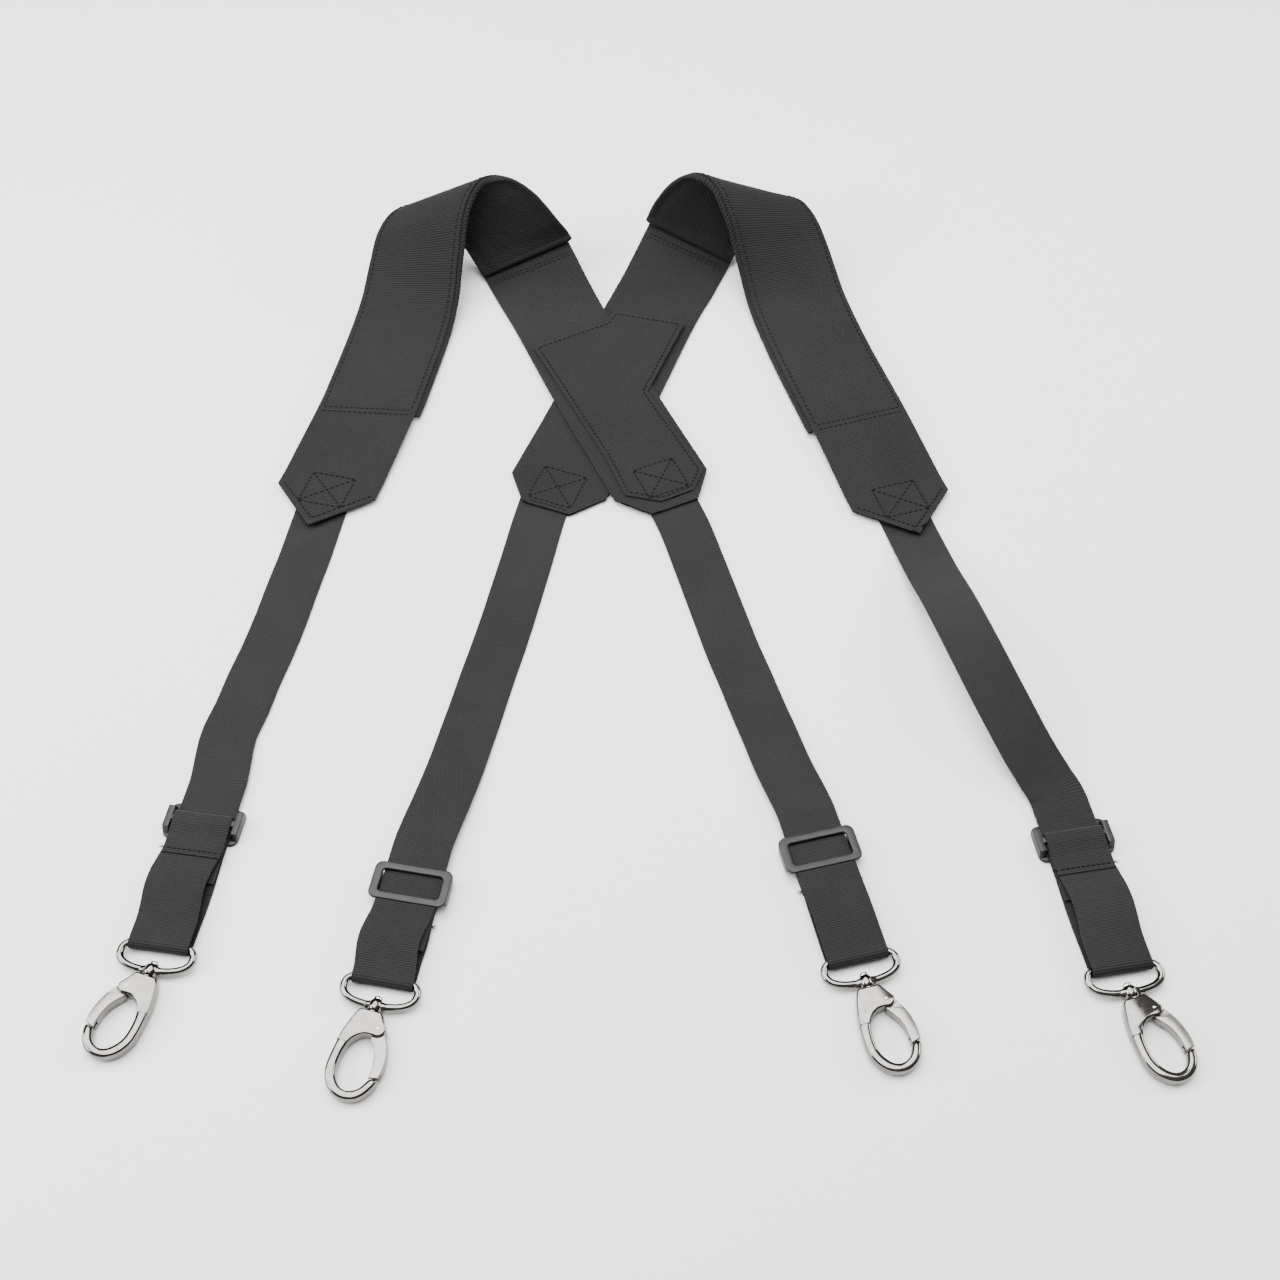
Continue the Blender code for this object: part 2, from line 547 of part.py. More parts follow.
def build_slider(name, frames):
    """Three-bar slider: arched side rails, two end bars over the webbing, a middle bar under it."""
    half_length = SLIDER_LENGTH / 2
    half_width = SLIDER_WIDTH / 2
    window = half_length - END_BAR_LENGTH
    top = STACK / 2
    low = CENTRE_BAR_LOW
    side_view = [
        (-half_length, top), (-half_length, END_BAR_LOW), (-window, low), (window, low),
        (half_length, END_BAR_LOW), (half_length, top),
    ]
    bm = plate_mesh(side_view, -half_width, half_width)
    bmesh.ops.rotate(bm, cent=(0, 0, 0), matrix=Matrix.Rotation(math.pi / 2, 3, "X"), verts=bm.verts)
    upright = [
        edge for edge in bm.edges
        if abs(edge.verts[0].co.x) > half_length - CLEARANCE
        and abs(edge.verts[0].co.x - edge.verts[1].co.x) < CLEARANCE
        and abs(edge.verts[0].co.y - edge.verts[1].co.y) < CLEARANCE
    ]
    bmesh.ops.bevel(
        bm, geom=upright, offset=SLIDER_CORNER, segments=3, affect="EDGES", profile=0.5, material=-1
    )
    slider = add_object(f"{name}_slider", bm, PLASTIC_FINISH, frames["adjuster"])
    outside = 2 * STACK
    passage = box_mesh(
        (-outside * 2, -RAIL_INSIDE, -outside), (outside * 2, RAIL_INSIDE, END_BAR_LOW)
    )
    opening = box_mesh((-window, -RAIL_INSIDE, -outside), (window, RAIL_INSIDE, outside))
    half_bar = CENTRE_BAR_LENGTH / 2
    bar = box_mesh(
        (-half_bar, -RAIL_INSIDE - BAR_INSET, low),
        (half_bar, RAIL_INSIDE + BAR_INSET, low + CENTRE_BAR_THICK),
    )
    for tool_name, tool, operation in (
        ("passage", passage, "DIFFERENCE"), ("window", opening, "DIFFERENCE"), ("bar", bar, "UNION")
    ):
        cutter = add_object(f"{name}_slider_{tool_name}_tool", tool, PLASTIC_FINISH, frames["adjuster"])
        boolean(slider, cutter, operation)


def ring_path():
    """Half of the D, from the middle of its bar to the middle of its bow."""
    half = (RING_WIDTH - RING_WIRE) / 2
    corner = arc((RING_CORNER, half - RING_CORNER), RING_CORNER, 180, 90, 4)
    bow = [
        Vector((
            RING_CORNER + (RING_DEPTH - RING_CORNER) * math.sin(turn) ** BOW_SQUARENESS,
            half * max(math.cos(turn), 0.0) ** BOW_SQUARENESS,
        ))
        for turn in even_steps(0, math.pi / 2, 8)
    ]
    return [Vector((0.0, 0.0))] + corner + bow[1:]


def spun_mesh(profile, axis, place):
    """A turned body: profile points (distance along the axis, radius), the axis is X or Y."""
    bm = bmesh.new()
    if axis == "Y":
        verts = [bm.verts.new((radius, along, 0.0)) for along, radius in profile]
    else:
        verts = [bm.verts.new((along, radius, 0.0)) for along, radius in profile]
    edges = [bm.edges.new(pair) for pair in zip(verts, verts[1:])]
    turned_about = (0, 1, 0) if axis == "Y" else (1, 0, 0)
    bmesh.ops.spin(
        bm, geom=verts + edges, cent=(0, 0, 0), axis=turned_about, angle=2 * math.pi, steps=16, use_merge=True
    )
    bmesh.ops.remove_doubles(bm, verts=bm.verts, dist=0.00001)
    bmesh.ops.translate(bm, verts=bm.verts, vec=place)
    return bm


def build_ring(name, frames):
    """D-ring: bent wire that swells into a bored boss in the middle of its bow."""
    half = ring_path()
    outline = half + [Vector((point.x, -point.y)) for point in reversed(half[1:-1])]
    curve = bpy.data.curves.new(f"{name}_ring_wire", "CURVE")
    curve.dimensions = "3D"
    curve.bevel_depth = RING_WIRE / 2
    curve.bevel_resolution = 2
    wire = curve.splines.new("POLY")
    wire.points.add(len(outline) - 1)
    for point, at in zip(wire.points, outline):
        point.co = (at.x, at.y, 0.0, 1.0)
    wire.use_cyclic_u = True
    bent = bpy.data.objects.new(f"{name}_ring_wire", curve)
    bpy.context.collection.objects.link(bent)
    evaluated = bent.evaluated_get(bpy.context.evaluated_depsgraph_get())
    bm = bmesh.new()
    bm.from_mesh(evaluated.to_mesh())
    bpy.data.objects.remove(bent, do_unlink=True)
    bmesh.ops.remove_doubles(bm, verts=bm.verts, dist=0.00001)
    ring = add_object(f"{name}_ring", bm, METAL_FINISH, frames["ring"])
    turn = frames["swivel"].rotation_euler.z
    axis = Vector((math.cos(turn), math.sin(turn), 0.0))
    centre = Vector((RING_DEPTH, 0.0, 0.0))
    boss = rod_mesh(centre - axis * BOSS_LENGTH / 2, centre + axis * BOSS_LENGTH / 2, BOSS_RADIUS, 20)
    bead = spun_mesh([
        (-BEAD_REACH, 0.0), (-BEAD_REACH, RING_WIRE * 0.3), (-BEAD_HALF_FLAT, BEAD_RADIUS),
        (BEAD_HALF_FLAT, BEAD_RADIUS), (BEAD_REACH, RING_WIRE * 0.3), (BEAD_REACH, 0.0),
    ], "Y", centre)
    bore = rod_mesh(centre - axis * BOSS_LENGTH, centre + axis * BOSS_LENGTH, RIVET_RADIUS + SWIVEL_PLAY)
    boolean(ring, add_object(f"{name}_ring_bead_tool", bead, METAL_FINISH, frames["ring"]), "UNION")
    boolean(ring, add_object(f"{name}_ring_boss_tool", boss, METAL_FINISH, frames["ring"]), "UNION")
    boolean(ring, add_object(f"{name}_ring_bore_tool", bore, METAL_FINISH, frames["ring"]), "DIFFERENCE")
    smooth_shading(ring)


def build_rivet(name, frames):
    """Swivel rivet: head inside the D, shank through the boss into the hook."""
    head_start = -BOSS_LENGTH / 2 - CLEARANCE
    shank_end = HOOK_OUTLINE[0][0] + RIVET_GRIP
    profile = [
        (head_start - RIVET_HEAD_THICK, 0.0), (head_start - RIVET_HEAD_THICK, RIVET_HEAD_RADIUS * 0.7),
        (head_start - RIVET_HEAD_THICK * 0.6, RIVET_HEAD_RADIUS), (head_start, RIVET_HEAD_RADIUS),
        (head_start, RIVET_RADIUS), (shank_end, RIVET_RADIUS), (shank_end, 0.0),
    ]
    rivet = spun_mesh(profile, "X", (0.0, 0.0, 0.0))
    smooth_shading(add_object(f"{name}_swivel_rivet", rivet, METAL_FINISH, frames["swivel"]))


def open_outline(points, steps):
    """A smooth curve through a few points; the plate made from it closes with a straight edge."""
    vectors = [Vector(point) for point in points]
    return [spline_point(vectors, at) for at in even_steps(0, len(vectors) - 1, (len(vectors) - 1) * steps)]


def loop_outline(points, steps):
    """A smooth closed curve through a few points."""
    vectors = [Vector(point) for point in points]
    wrapped = vectors[-1:] + vectors + vectors[:2]
    count = len(vectors)
    return [spline_point(wrapped, 1 + step / steps) for step in range(count * steps)]


def polar(radius, angle):
    """A point round the gate's pin, angle in degrees."""
    turn = math.radians(angle)
    return GATE_PIN_AT + Vector((math.cos(turn), math.sin(turn))) * radius


def gate_zone(inner, outer, low_angle):
    """A sector round the pin, between two radii; at the lip it reaches down to low_angle."""
    lip = arc(GATE_PIN_AT, inner, LIP_ANGLE, low_angle, 12)
    return lip + arc(GATE_PIN_AT, outer, NOSE_LOW_ANGLE, NOSE_HIGH_ANGLE, 8)


def gate_passage():
    """The sector cleared out of the hook, which also frees the gate's sweep beside the eye."""
    zone = gate_zone(GATE_LIP_RADIUS, GATE_NOSE_RADIUS, GATE_REST_ANGLE - GATE_SWEEP)
    return zone + [polar(GATE_NOSE_RADIUS, NOSE_CLEAR_ANGLE)]


def build_hook(name, frames):
    """Cast hook body: teardrop with its eye, open on the gate's side."""
    parent = frames["swivel"]
    half = HOOK_THICK / 2
    bm = plate_mesh(open_outline(HOOK_OUTLINE, 3), -half, half)
    rims = [edge for edge in bm.edges if abs(edge.verts[0].co.z - edge.verts[1].co.z) < CLEARANCE]
    bmesh.ops.bevel(
        bm, geom=rims, offset=HOOK_EDGE, segments=1, affect="EDGES", profile=0.5, material=-1
    )
    hook = add_object(f"{name}_hook", bm, METAL_FINISH, parent)
    deep = HOOK_THICK
    slot = GATE_ROOT_THICK / 2 + CLEARANCE
    pin = Vector((*GATE_PIN_AT, 0.0))
    up = Vector((0, 0, 1))
    spring_start = spring_seat() - Vector((0, SPRING_LENGTH + CLEARANCE, 0))
    tongue_half = TONGUE_THICK / 2
    tongue_at = polar(GATE_NOSE_RADIUS - TONGUE_DEPTH, TONGUE_ANGLE)
    tongue_end = polar(GATE_NOSE_RADIUS + TONGUE_DEPTH, TONGUE_ANGLE)
    tools = (
        ("eye", plate_mesh(loop_outline(EYE_OUTLINE, 3), -deep, deep), "DIFFERENCE"),
        ("gate_passage", plate_mesh(gate_passage(), -deep, deep), "DIFFERENCE"),
        ("tongue", box_mesh((tongue_at.x, tongue_at.y - TONGUE_HALF_SPAN, -tongue_half),
                            (tongue_end.x, tongue_at.y + TONGUE_HALF_SPAN, tongue_half)), "UNION"),
        ("slot", rod_mesh(pin - up * slot, pin + up * slot, GATE_LIP_RADIUS + SLOT_ROOM, 24),
         "DIFFERENCE"),
        ("pin_hole", rod_mesh(pin - up * deep, pin + up * deep, GATE_PIN_RADIUS + CLEARANCE, 12),
         "DIFFERENCE"),
        ("rivet_hole", rod_mesh((0, 0, 0), (HOOK_OUTLINE[0][0] + RIVET_GRIP + CLEARANCE, 0, 0),
                                RIVET_RADIUS + SWIVEL_PLAY), "DIFFERENCE"),
        ("spring_hole", rod_mesh(spring_start, spring_seat() + Vector((0, CLEARANCE * 3, 0)),
                                 SPRING_RADIUS + CLEARANCE, 12), "DIFFERENCE"),
    )
    for tool_name, tool, operation in tools:
        boolean(hook, add_object(f"{name}_hook_{tool_name}_tool", tool, METAL_FINISH, parent), operation)


def spring_seat():
    """Where the gate's spring meets the gate's root."""
    return Vector((GATE_PIN_AT.x, GATE_PIN_AT.y - GATE_ROOT_RADIUS - CLEARANCE, 0.0))


def build_gate(name, frames):
    """Gate, modelled round its pin, with its pin and its spring."""
    parent = frames["gate"]
    shift = Vector((-GATE_PIN_AT.x, -GATE_PIN_AT.y, 0.0))

    def moved(bm):
        bmesh.ops.translate(bm, vec=shift, verts=bm.verts)
        return bm

    half = GATE_THICK / 2
    root = GATE_ROOT_THICK / 2
    blank = plate_mesh(open_outline(HOOK_OUTLINE, 3), -half, half)
    gate = add_object(f"{name}_gate", moved(blank), METAL_FINISH, parent)
    zone = gate_zone(GATE_LIP_RADIUS + GATE_GAP, GATE_NOSE_RADIUS - GATE_GAP, GATE_REST_ANGLE)
    neck = [polar(GATE_NECK_CORE, 110), polar(GATE_NECK_CORE, -70),
            polar(GATE_LIP_RADIUS + GATE_NECK_CORE, 0), polar(GATE_LIP_RADIUS + GATE_NECK_REACH, 28),
            polar(GATE_LIP_RADIUS + GATE_NECK_CORE, 55)]
    pin = Vector((*GATE_PIN_AT, 0.0))
    up = Vector((0, 0, 1))
    deep = HOOK_THICK
    notch_half = TONGUE_THICK / 2 + CLEARANCE
    tongue_at = polar(GATE_NOSE_RADIUS - TONGUE_DEPTH, TONGUE_ANGLE)
    tools = (
        ("zone", plate_mesh(zone, -deep, deep), "INTERSECT"),
        ("eye", plate_mesh(loop_outline(EYE_OUTLINE, 3), -deep, deep), "DIFFERENCE"),
        ("root", rod_mesh(pin - up * root, pin + up * root, GATE_ROOT_RADIUS, 20), "UNION"),
        ("neck", plate_mesh(neck, -root + GATE_NECK_STEP, root - GATE_NECK_STEP), "UNION"),
        ("pin_hole", rod_mesh(pin - up * deep, pin + up * deep, GATE_PIN_RADIUS + CLEARANCE, 12),
         "DIFFERENCE"),
        ("notch", box_mesh(
            (tongue_at.x - NOTCH_BACK, tongue_at.y - TONGUE_HALF_SPAN - CLEARANCE, -notch_half),
            (tongue_at.x + NOTCH_REACH, tongue_at.y + NOTCH_REACH, notch_half)), "DIFFERENCE"),
    )
    for tool_name, tool, operation in tools:
        cutter = add_object(f"{name}_gate_{tool_name}_tool", moved(tool), METAL_FINISH, parent)
        boolean(gate, cutter, operation)

    half_pin = HOOK_THICK / 2 * up
    pin_rod = rod_mesh(-half_pin, half_pin, GATE_PIN_RADIUS, 12)
    add_object(f"{name}_gate_pin", pin_rod, METAL_FINISH, parent)
    spring = rod_mesh(spring_seat() - Vector((0, SPRING_LENGTH, 0)), spring_seat(), SPRING_RADIUS, 12)
    add_object(f"{name}_gate_spring", spring, METAL_FINISH, frames["swivel"])


def build_leg(name, leg):
    frames = leg_frame(name, leg)
    build_leg_webbing(name, leg, frames)
    build_slider(name, frames)
    build_end_loop(name, frames)
    build_ring(name, frames)
    build_rivet(name, frames)
    build_hook(name, frames)
    build_gate(name, frames)


def main():
    clear_scene()
    left_strap = build_shoulder("left", LEFT_STRAP_RUNGS)
    build_shoulder("right", RIGHT_STRAP_RUNGS)
    build_patch(left_strap)
    for name, leg in LEGS.items():
        build_leg(name, leg)
    for obj in bpy.data.objects:
        if obj.parent is None:
            obj.location -= LAYOUT_CENTRE


main()
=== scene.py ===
"""Tool-belt suspenders: the detailed model of the webbing, pads, sliders, D-rings and swivel hooks.

Metres, +Z up, the floor at z = 0. The straps and legs are bands that follow a run; a point of a run is given
by its distance along it, its distance across it and its lift off it. Each leg end is made in its own frame,
with X along the leg towards the hook and Z through the layers.
"""
import math

import bmesh
import bpy
from mathutils import Euler, Matrix, Vector, noise


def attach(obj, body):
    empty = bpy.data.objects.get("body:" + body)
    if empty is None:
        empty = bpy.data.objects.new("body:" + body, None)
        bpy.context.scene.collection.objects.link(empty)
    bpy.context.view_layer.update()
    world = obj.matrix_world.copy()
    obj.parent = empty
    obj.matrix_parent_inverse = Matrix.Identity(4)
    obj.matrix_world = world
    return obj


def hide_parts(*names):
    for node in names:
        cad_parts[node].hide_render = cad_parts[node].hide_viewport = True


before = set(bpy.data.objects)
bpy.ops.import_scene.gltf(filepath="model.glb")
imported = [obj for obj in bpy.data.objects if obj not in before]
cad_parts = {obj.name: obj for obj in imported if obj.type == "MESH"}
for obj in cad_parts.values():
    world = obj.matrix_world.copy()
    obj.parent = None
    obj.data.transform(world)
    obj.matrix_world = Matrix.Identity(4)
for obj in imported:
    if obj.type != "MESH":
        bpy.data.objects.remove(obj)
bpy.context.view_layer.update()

# ---------------------------------------------------------------- camera
camera = bpy.data.objects.new("camera", bpy.data.cameras.new("camera"))
bpy.context.collection.objects.link(camera)
camera.location = (0.00155, -0.7527, 0.937)
camera.rotation_euler = (math.radians(37.0), 0.0, 0.0)
camera.data.lens = 47.5
camera.data.sensor_width = 36.0
camera.data.clip_start = 0.01
bpy.context.scene.camera = camera

# ---------------------------------------------------------------- dimensions
MM = 0.001
LAYOUT_CENTRE = Vector((-0.00155, -0.01627, 0.0))

SHOULDER_HALF = 38 * MM
SHOULDER_THICK = 1.6 * MM
PAD_HALF = 40 * MM
PAD_DEPTH = 5.4 * MM
PAD_SEAM_INSET = 5 * MM
PAD_SHIFT = 1.6 * MM
LEG_HALF = 19 * MM
LEG_THICK = 1.3 * MM
CLEARANCE = 0.3 * MM
FRONT_TIP_REACH = 52 * MM
FRONT_CORNER_REACH = 16 * MM
BACK_END_REACH = 24 * MM
TIP_RISE = 2.4 * MM

ONE_PLY = SHOULDER_THICK + CLEARANCE
OVER_LEG = LEG_THICK + CLEARANCE + SHOULDER_THICK
CROSSED = OVER_LEG + CLEARANCE + SHOULDER_THICK
PADDED = 5.8 * MM
FRONT_TAB = 2.4 * MM

MIDDLE_PLANE = 4.65 * MM
WRAP_RADIUS = 3.7 * MM
RETURN_MID = -0.1 * MM
TAIL_MID = -4.0 * MM
SLIDER_LENGTH = 26 * MM
SLIDER_HALF_WIDTH = 24.9 * MM
RAIL_INSIDE = 19.9 * MM
END_BAR = 5.2 * MM
END_BAR_LOW = 2.45 * MM
CENTRE_BAR = 4.4 * MM
CENTRE_BAR_LOW = -3.05 * MM
CENTRE_BAR_THICK = 2.0 * MM
LOOP_BOW = 1.3 * MM
STRAIGHT_RUN = 30 * MM
TONGUE_REACH = 42 * MM
TAIL_REACH = 26 * MM

RING_WIRE = 4.6 * MM
RING_HALF = 22.7 * MM
RING_DEPTH = 17 * MM
RING_CORNER = 6 * MM
BOSS_RADIUS = 4.4 * MM
BOSS_LENGTH = 7.2 * MM
BEAD_RADIUS = 3.1 * MM
BEAD_REACH = 9 * MM
BOW_SQUARENESS = 0.8
HOOK_HALF_THICK = 4.2 * MM
GATE_HALF_THICK = 3.4 * MM
GATE_PIN_AT = Vector((14.3 * MM, 7.2 * MM))
GATE_LIP_RADIUS = 5.2 * MM
GATE_GAP = 0.45 * MM

# Rungs across each shoulder strap's body side, from its back tab over the shoulder to its front tab.
LEFT_STRAP_RUNGS = [
    ((-0.0190, 0.0630, CROSSED), (0.0500, 0.0940, CROSSED)),
    ((-0.0610, 0.1540, CROSSED), (0.0080, 0.1850, CROSSED)),
    ((-0.0980, 0.2390, OVER_LEG), (-0.0220, 0.2560, CROSSED)),
    ((-0.1135, 0.2760, 0.0024), (-0.0410, 0.2970, 0.0080)),
    ((-0.1290, 0.3110, 0.0030), (-0.0600, 0.3360, 0.0200)),
    ((-0.1430, 0.3300, 0.0130), (-0.0700, 0.3400, 0.0390)),
    ((-0.1600, 0.3425, 0.0320), (-0.0880, 0.3450, 0.0620)),
    ((-0.1790, 0.3460, 0.0450), (-0.1110, 0.3480, 0.0745)),
    ((-0.1980, 0.3400, 0.0475), (-0.1310, 0.3410, 0.0745)),
    ((-0.2115, 0.3250, 0.0385), (-0.1425, 0.3200, 0.0620)),
    ((-0.2195, 0.3040, 0.0230), (-0.1465, 0.2930, 0.0380)),
    ((-0.2260, 0.2770, 0.0110), (-0.1490, 0.2660, 0.0170)),
    ((-0.2320, 0.2430, 0.0062), (-0.1550, 0.2360, 0.0066)),
    ((-0.2420, 0.1870, PADDED), (-0.1650, 0.1840, PADDED)),
    ((-0.2475, 0.1540, PADDED), (-0.1735, 0.1490, PADDED)),
    ((-0.2655, 0.0960, FRONT_TAB), (-0.1905, 0.0790, FRONT_TAB)),
]
RIGHT_STRAP_RUNGS = [
    ((-0.0960, 0.0925, OVER_LEG), (-0.0250, 0.0656, OVER_LEG)),
    ((-0.0670, 0.1680, OVER_LEG), (0.0040, 0.1410, OVER_LEG)),
    ((-0.0290, 0.2730, ONE_PLY), (0.0410, 0.2470, ONE_PLY)),
    ((-0.0110, 0.3160, 0.0070), (0.0585, 0.2880, ONE_PLY)),
    ((0.0080, 0.3600, 0.0200), (0.0760, 0.3290, 0.0030)),
    ((0.0170, 0.3620, 0.0390), (0.0850, 0.3440, 0.0140)),
    ((0.0290, 0.3595, 0.0600), (0.0985, 0.3520, 0.0320)),
    ((0.0450, 0.3530, 0.0740), (0.1140, 0.3560, 0.0450)),
    ((0.0610, 0.3400, 0.0725), (0.1300, 0.3530, 0.0475)),
    ((0.0720, 0.3210, 0.0560), (0.1440, 0.3420, 0.0390)),
    ((0.0800, 0.3030, 0.0330), (0.1545, 0.3260, 0.0250)),
    ((0.0860, 0.2830, 0.0160), (0.1625, 0.3050, 0.0140)),
    ((0.0920, 0.2600, 0.0078), (0.1695, 0.2790, 0.0078)),
    ((0.1070, 0.2060, PADDED), (0.1840, 0.2260, PADDED)),
    ((0.1310, 0.1320, PADDED), (0.2045, 0.1545, PADDED)),
    ((0.1520, 0.0680, FRONT_TAB), (0.2230, 0.0890, FRONT_TAB)),
]
PAD_FIRST_RUNG = 4
PAD_LAST_RUNG = 14

PATCH_OUTLINE = [
    (-0.0850, 0.2240), (-0.0280, 0.2530), (-0.0210, 0.2660), (0.0360, 0.2520), (0.0060, 0.1740),
    (0.0475, 0.0920), (0.0400, 0.0720), (0.0160, 0.0600), (-0.0110, 0.0660), (-0.0260, 0.1040),
]
PATCH_LOW = CROSSED + CLEARANCE
PATCH_THICK = 1.2 * MM

LEGS = {
    "front_left": {
        "slider": (-0.2790, -0.2120), "ring": (-0.2920, -0.2990), "flipped": True,
        "route": [(-0.2325, 0.0700, 0.0), (-0.2360, 0.0480, 0.0), (-0.2395, 0.0250, 0.0),
                  (-0.2420, 0.0090, 0.0), (-0.2470, -0.0180, 0.0), (-0.2515, -0.0450, 0.0),
                  (-0.2570, -0.0720, 0.0), (-0.2630, -0.0970, 0.0003), (-0.2680, -0.1220, 0.0008),
                  (-0.2735, -0.1460, 0.0015)],
        "hook_tilt": -12.0, "hook_roll": 0.0, "loop_drift": 3.0 * MM,
    },
    "back_left": {
        "slider": (-0.1425, -0.2590), "ring": (-0.1540, -0.3220), "flipped": False,
        "route": [(-0.0650, 0.0880, 0.0), (-0.0700, 0.0660, 0.0), (-0.0760, 0.0380, 0.0),
                  (-0.0815, 0.0090, 0.0), (-0.0870, -0.0180, 0.0), (-0.0925, -0.0450, 0.0),
                  (-0.0985, -0.0720, 0.0), (-0.1045, -0.0970, 0.0), (-0.1100, -0.1220, 0.0004),
                  (-0.1155, -0.1460, 0.0010), (-0.1210, -0.1700, 0.0020), (-0.1270, -0.1930, 0.0035)],
        "hook_tilt": -5.0, "hook_roll": 0.0, "loop_drift": -2.8 * MM,
    },
    "back_right": {
        "slider": (0.1135, -0.2340), "ring": (0.1315, -0.3068), "flipped": False,
        "route": [(0.0150, 0.0900, ONE_PLY), (0.0220, 0.0670, ONE_PLY), (0.0330, 0.0380, 0.0006),
                  (0.0415, 0.0090, 0.0), (0.0490, -0.0180, 0.0), (0.0565, -0.0450, 0.0),
                  (0.0640, -0.0720, 0.0), (0.0720, -0.0970, 0.0), (0.0795, -0.1220, 0.0005),
                  (0.0870, -0.1460, 0.0015), (0.0940, -0.1700, 0.0032)],
        "hook_tilt": 1.0, "hook_roll": 0.0, "loop_drift": 0.0,
    },
    "front_right": {
        "slider": (0.2753, -0.2235), "ring": (0.2901, -0.3131), "flipped": True,
        "route": [(0.1900, 0.0640, 0.0), (0.1970, 0.0380, 0.0004), (0.2030, 0.0120, 0.0040),
                  (0.2080, -0.0150, 0.0110), (0.2140, -0.0430, 0.0190), (0.2200, -0.0700, 0.0240),
                  (0.2265, -0.0950, 0.0260), (0.2345, -0.1190, 0.0240), (0.2440, -0.1420, 0.0185),
                  (0.2540, -0.1620, 0.0110), (0.2635, -0.1790, 0.0050)],
        "hook_tilt": 9.0, "hook_roll": math.pi, "loop_drift": -2.6 * MM,
    },
}

# Hook's curved bar, in millimetres along and across the hook: outer edge, inner edge and half thickness, from
# the nose round to the shoulder.
HOOK_BAR = [
    ((43.9, 18.0), (45.0, 12.2), 2.6), ((45.2, 18.1), (46.1, 11.7), 3.2), ((48.3, 17.3), (48.3, 10.6), 3.5),
    ((52.2, 15.4), (50.8, 9.1), 3.6), ((55.9, 12.7), (52.7, 6.9), 3.6), ((58.8, 8.6), (53.9, 4.2), 3.6),
    ((60.1, 3.6), (54.1, 1.3), 3.6), ((59.8, -1.2), (53.3, -1.2), 3.7), ((57.9, -5.6), (51.6, -3.4), 3.7),
    ((54.7, -9.4), (49.0, -5.5), 3.8), ((50.5, -12.3), (45.8, -7.2), 3.8), ((45.5, -14.1), (42.2, -8.1), 3.8),
    ((40.2, -14.6), (38.5, -8.3), 3.9), ((35.0, -14.4), (34.5, -8.2), 3.9),
    ((30.0, -14.1), (30.4, -7.6), 4.0), ((25.0, -13.4), (26.8, -6.6), 4.0),
    ((20.5, -12.6), (23.5, -5.0), 4.0), ((16.0, -11.5), (19.5, -2.5), 3.9),
]
# Hook's flat shoulder, in millimetres; its lip is added as an arc round the gate's pin.
HOOK_SHOULDER = [
    (4.9, 6.5), (4.4, 5.2), (4.4, -6.0), (4.9, -7.4), (7.0, -8.8), (10.5, -10.2), (15.0, -11.5),
    (21.0, -12.9), (27.0, -13.8), (27.6, -7.2),
    (24.4, -5.6), (21.6, -3.2), (19.6, 0.0), (19.2, 2.4),
]
# Gate's bar, in millimetres: its outer edge towards the nose, then its inner edge back.
GATE_OUTER = [(18.3, 13.7), (23.0, 16.0), (28.0, 17.6), (33.0, 18.6), (38.0, 18.8), (43.2, 18.2)]
GATE_INNER = [
    (44.6, 12.2), (41.0, 12.5), (37.0, 12.4), (33.0, 11.7),
    (29.0, 10.5), (25.6, 8.5), (22.6, 6.3), (20.3, 5.0),
]
NOTCH_SHORT = 3.4 * MM
NOTCH_SLOPE = 0.6 * MM

THREAD_RADIUS = 0.46 * MM
LOOSE_THREAD_RADIUS = 0.17 * MM
STITCH_LENGTH = 3.0 * MM
STITCH_PITCH = 4.0 * MM
STITCH_PROUD = 0.12 * MM
STRAP_STEP = 4 * MM
PAD_STEP = 3 * MM
LOOP_STEP = 3 * MM
WAVY_FROM = 60 * MM
WAVE_EASE = 20 * MM


# ---------------------------------------------------------------- shader node groups
def new_group(name, inputs, outputs):
    """An empty shader node group with named sockets; gives the group and its two end nodes."""
    group = bpy.data.node_groups.new(name, "ShaderNodeTree")
    for label, kind, value in inputs:
        socket = group.interface.new_socket(label, in_out="INPUT", socket_type=kind)
        if value is not None:
            socket.default_value = value
    for label, kind in outputs:
        group.interface.new_socket(label, in_out="OUTPUT", socket_type=kind)
    return group, group.nodes.new("NodeGroupInput"), group.nodes.new("NodeGroupOutput")


def wire(tree, source, target):
    """Join an output or set a plain value on an input."""
    if isinstance(source, bpy.types.NodeSocket):
        tree.links.new(source, target)
    else:
        target.default_value = source


def maths(tree, operation, first, second=None, third=None):
    node = tree.nodes.new("ShaderNodeMath")
    node.operation = operation
    for value, socket in zip((first, second, third), node.inputs):
        if value is not None:
            wire(tree, value, socket)
    return node.outputs[0]


def noise_texture(tree, vector, scale, detail=3.0, roughness=0.55):
    node = tree.nodes.new("ShaderNodeTexNoise")
    wire(tree, vector, node.inputs["Vector"])
    wire(tree, scale, node.inputs["Scale"])
    node.inputs["Detail"].default_value = detail
    node.inputs["Roughness"].default_value = roughness
    return node.outputs["Fac"]


def spread(tree, value, low, high, to_low=0.0, to_high=1.0):
    """Stretch a value from one range to another."""
    node = tree.nodes.new("ShaderNodeMapRange")
    wire(tree, value, node.inputs["Value"])
    for label, number in (("From Min", low), ("From Max", high), ("To Min", to_low), ("To Max", to_high)):
        wire(tree, number, node.inputs[label])
    return node.outputs["Result"]


def blend_colours(tree, factor, dark, light):
    node = tree.nodes.new("ShaderNodeMix")
    node.data_type = "RGBA"
    wire(tree, factor, node.inputs["Factor"])
    wire(tree, dark, node.inputs["A"])
    wire(tree, light, node.inputs["B"])
    return node.outputs["Result"]


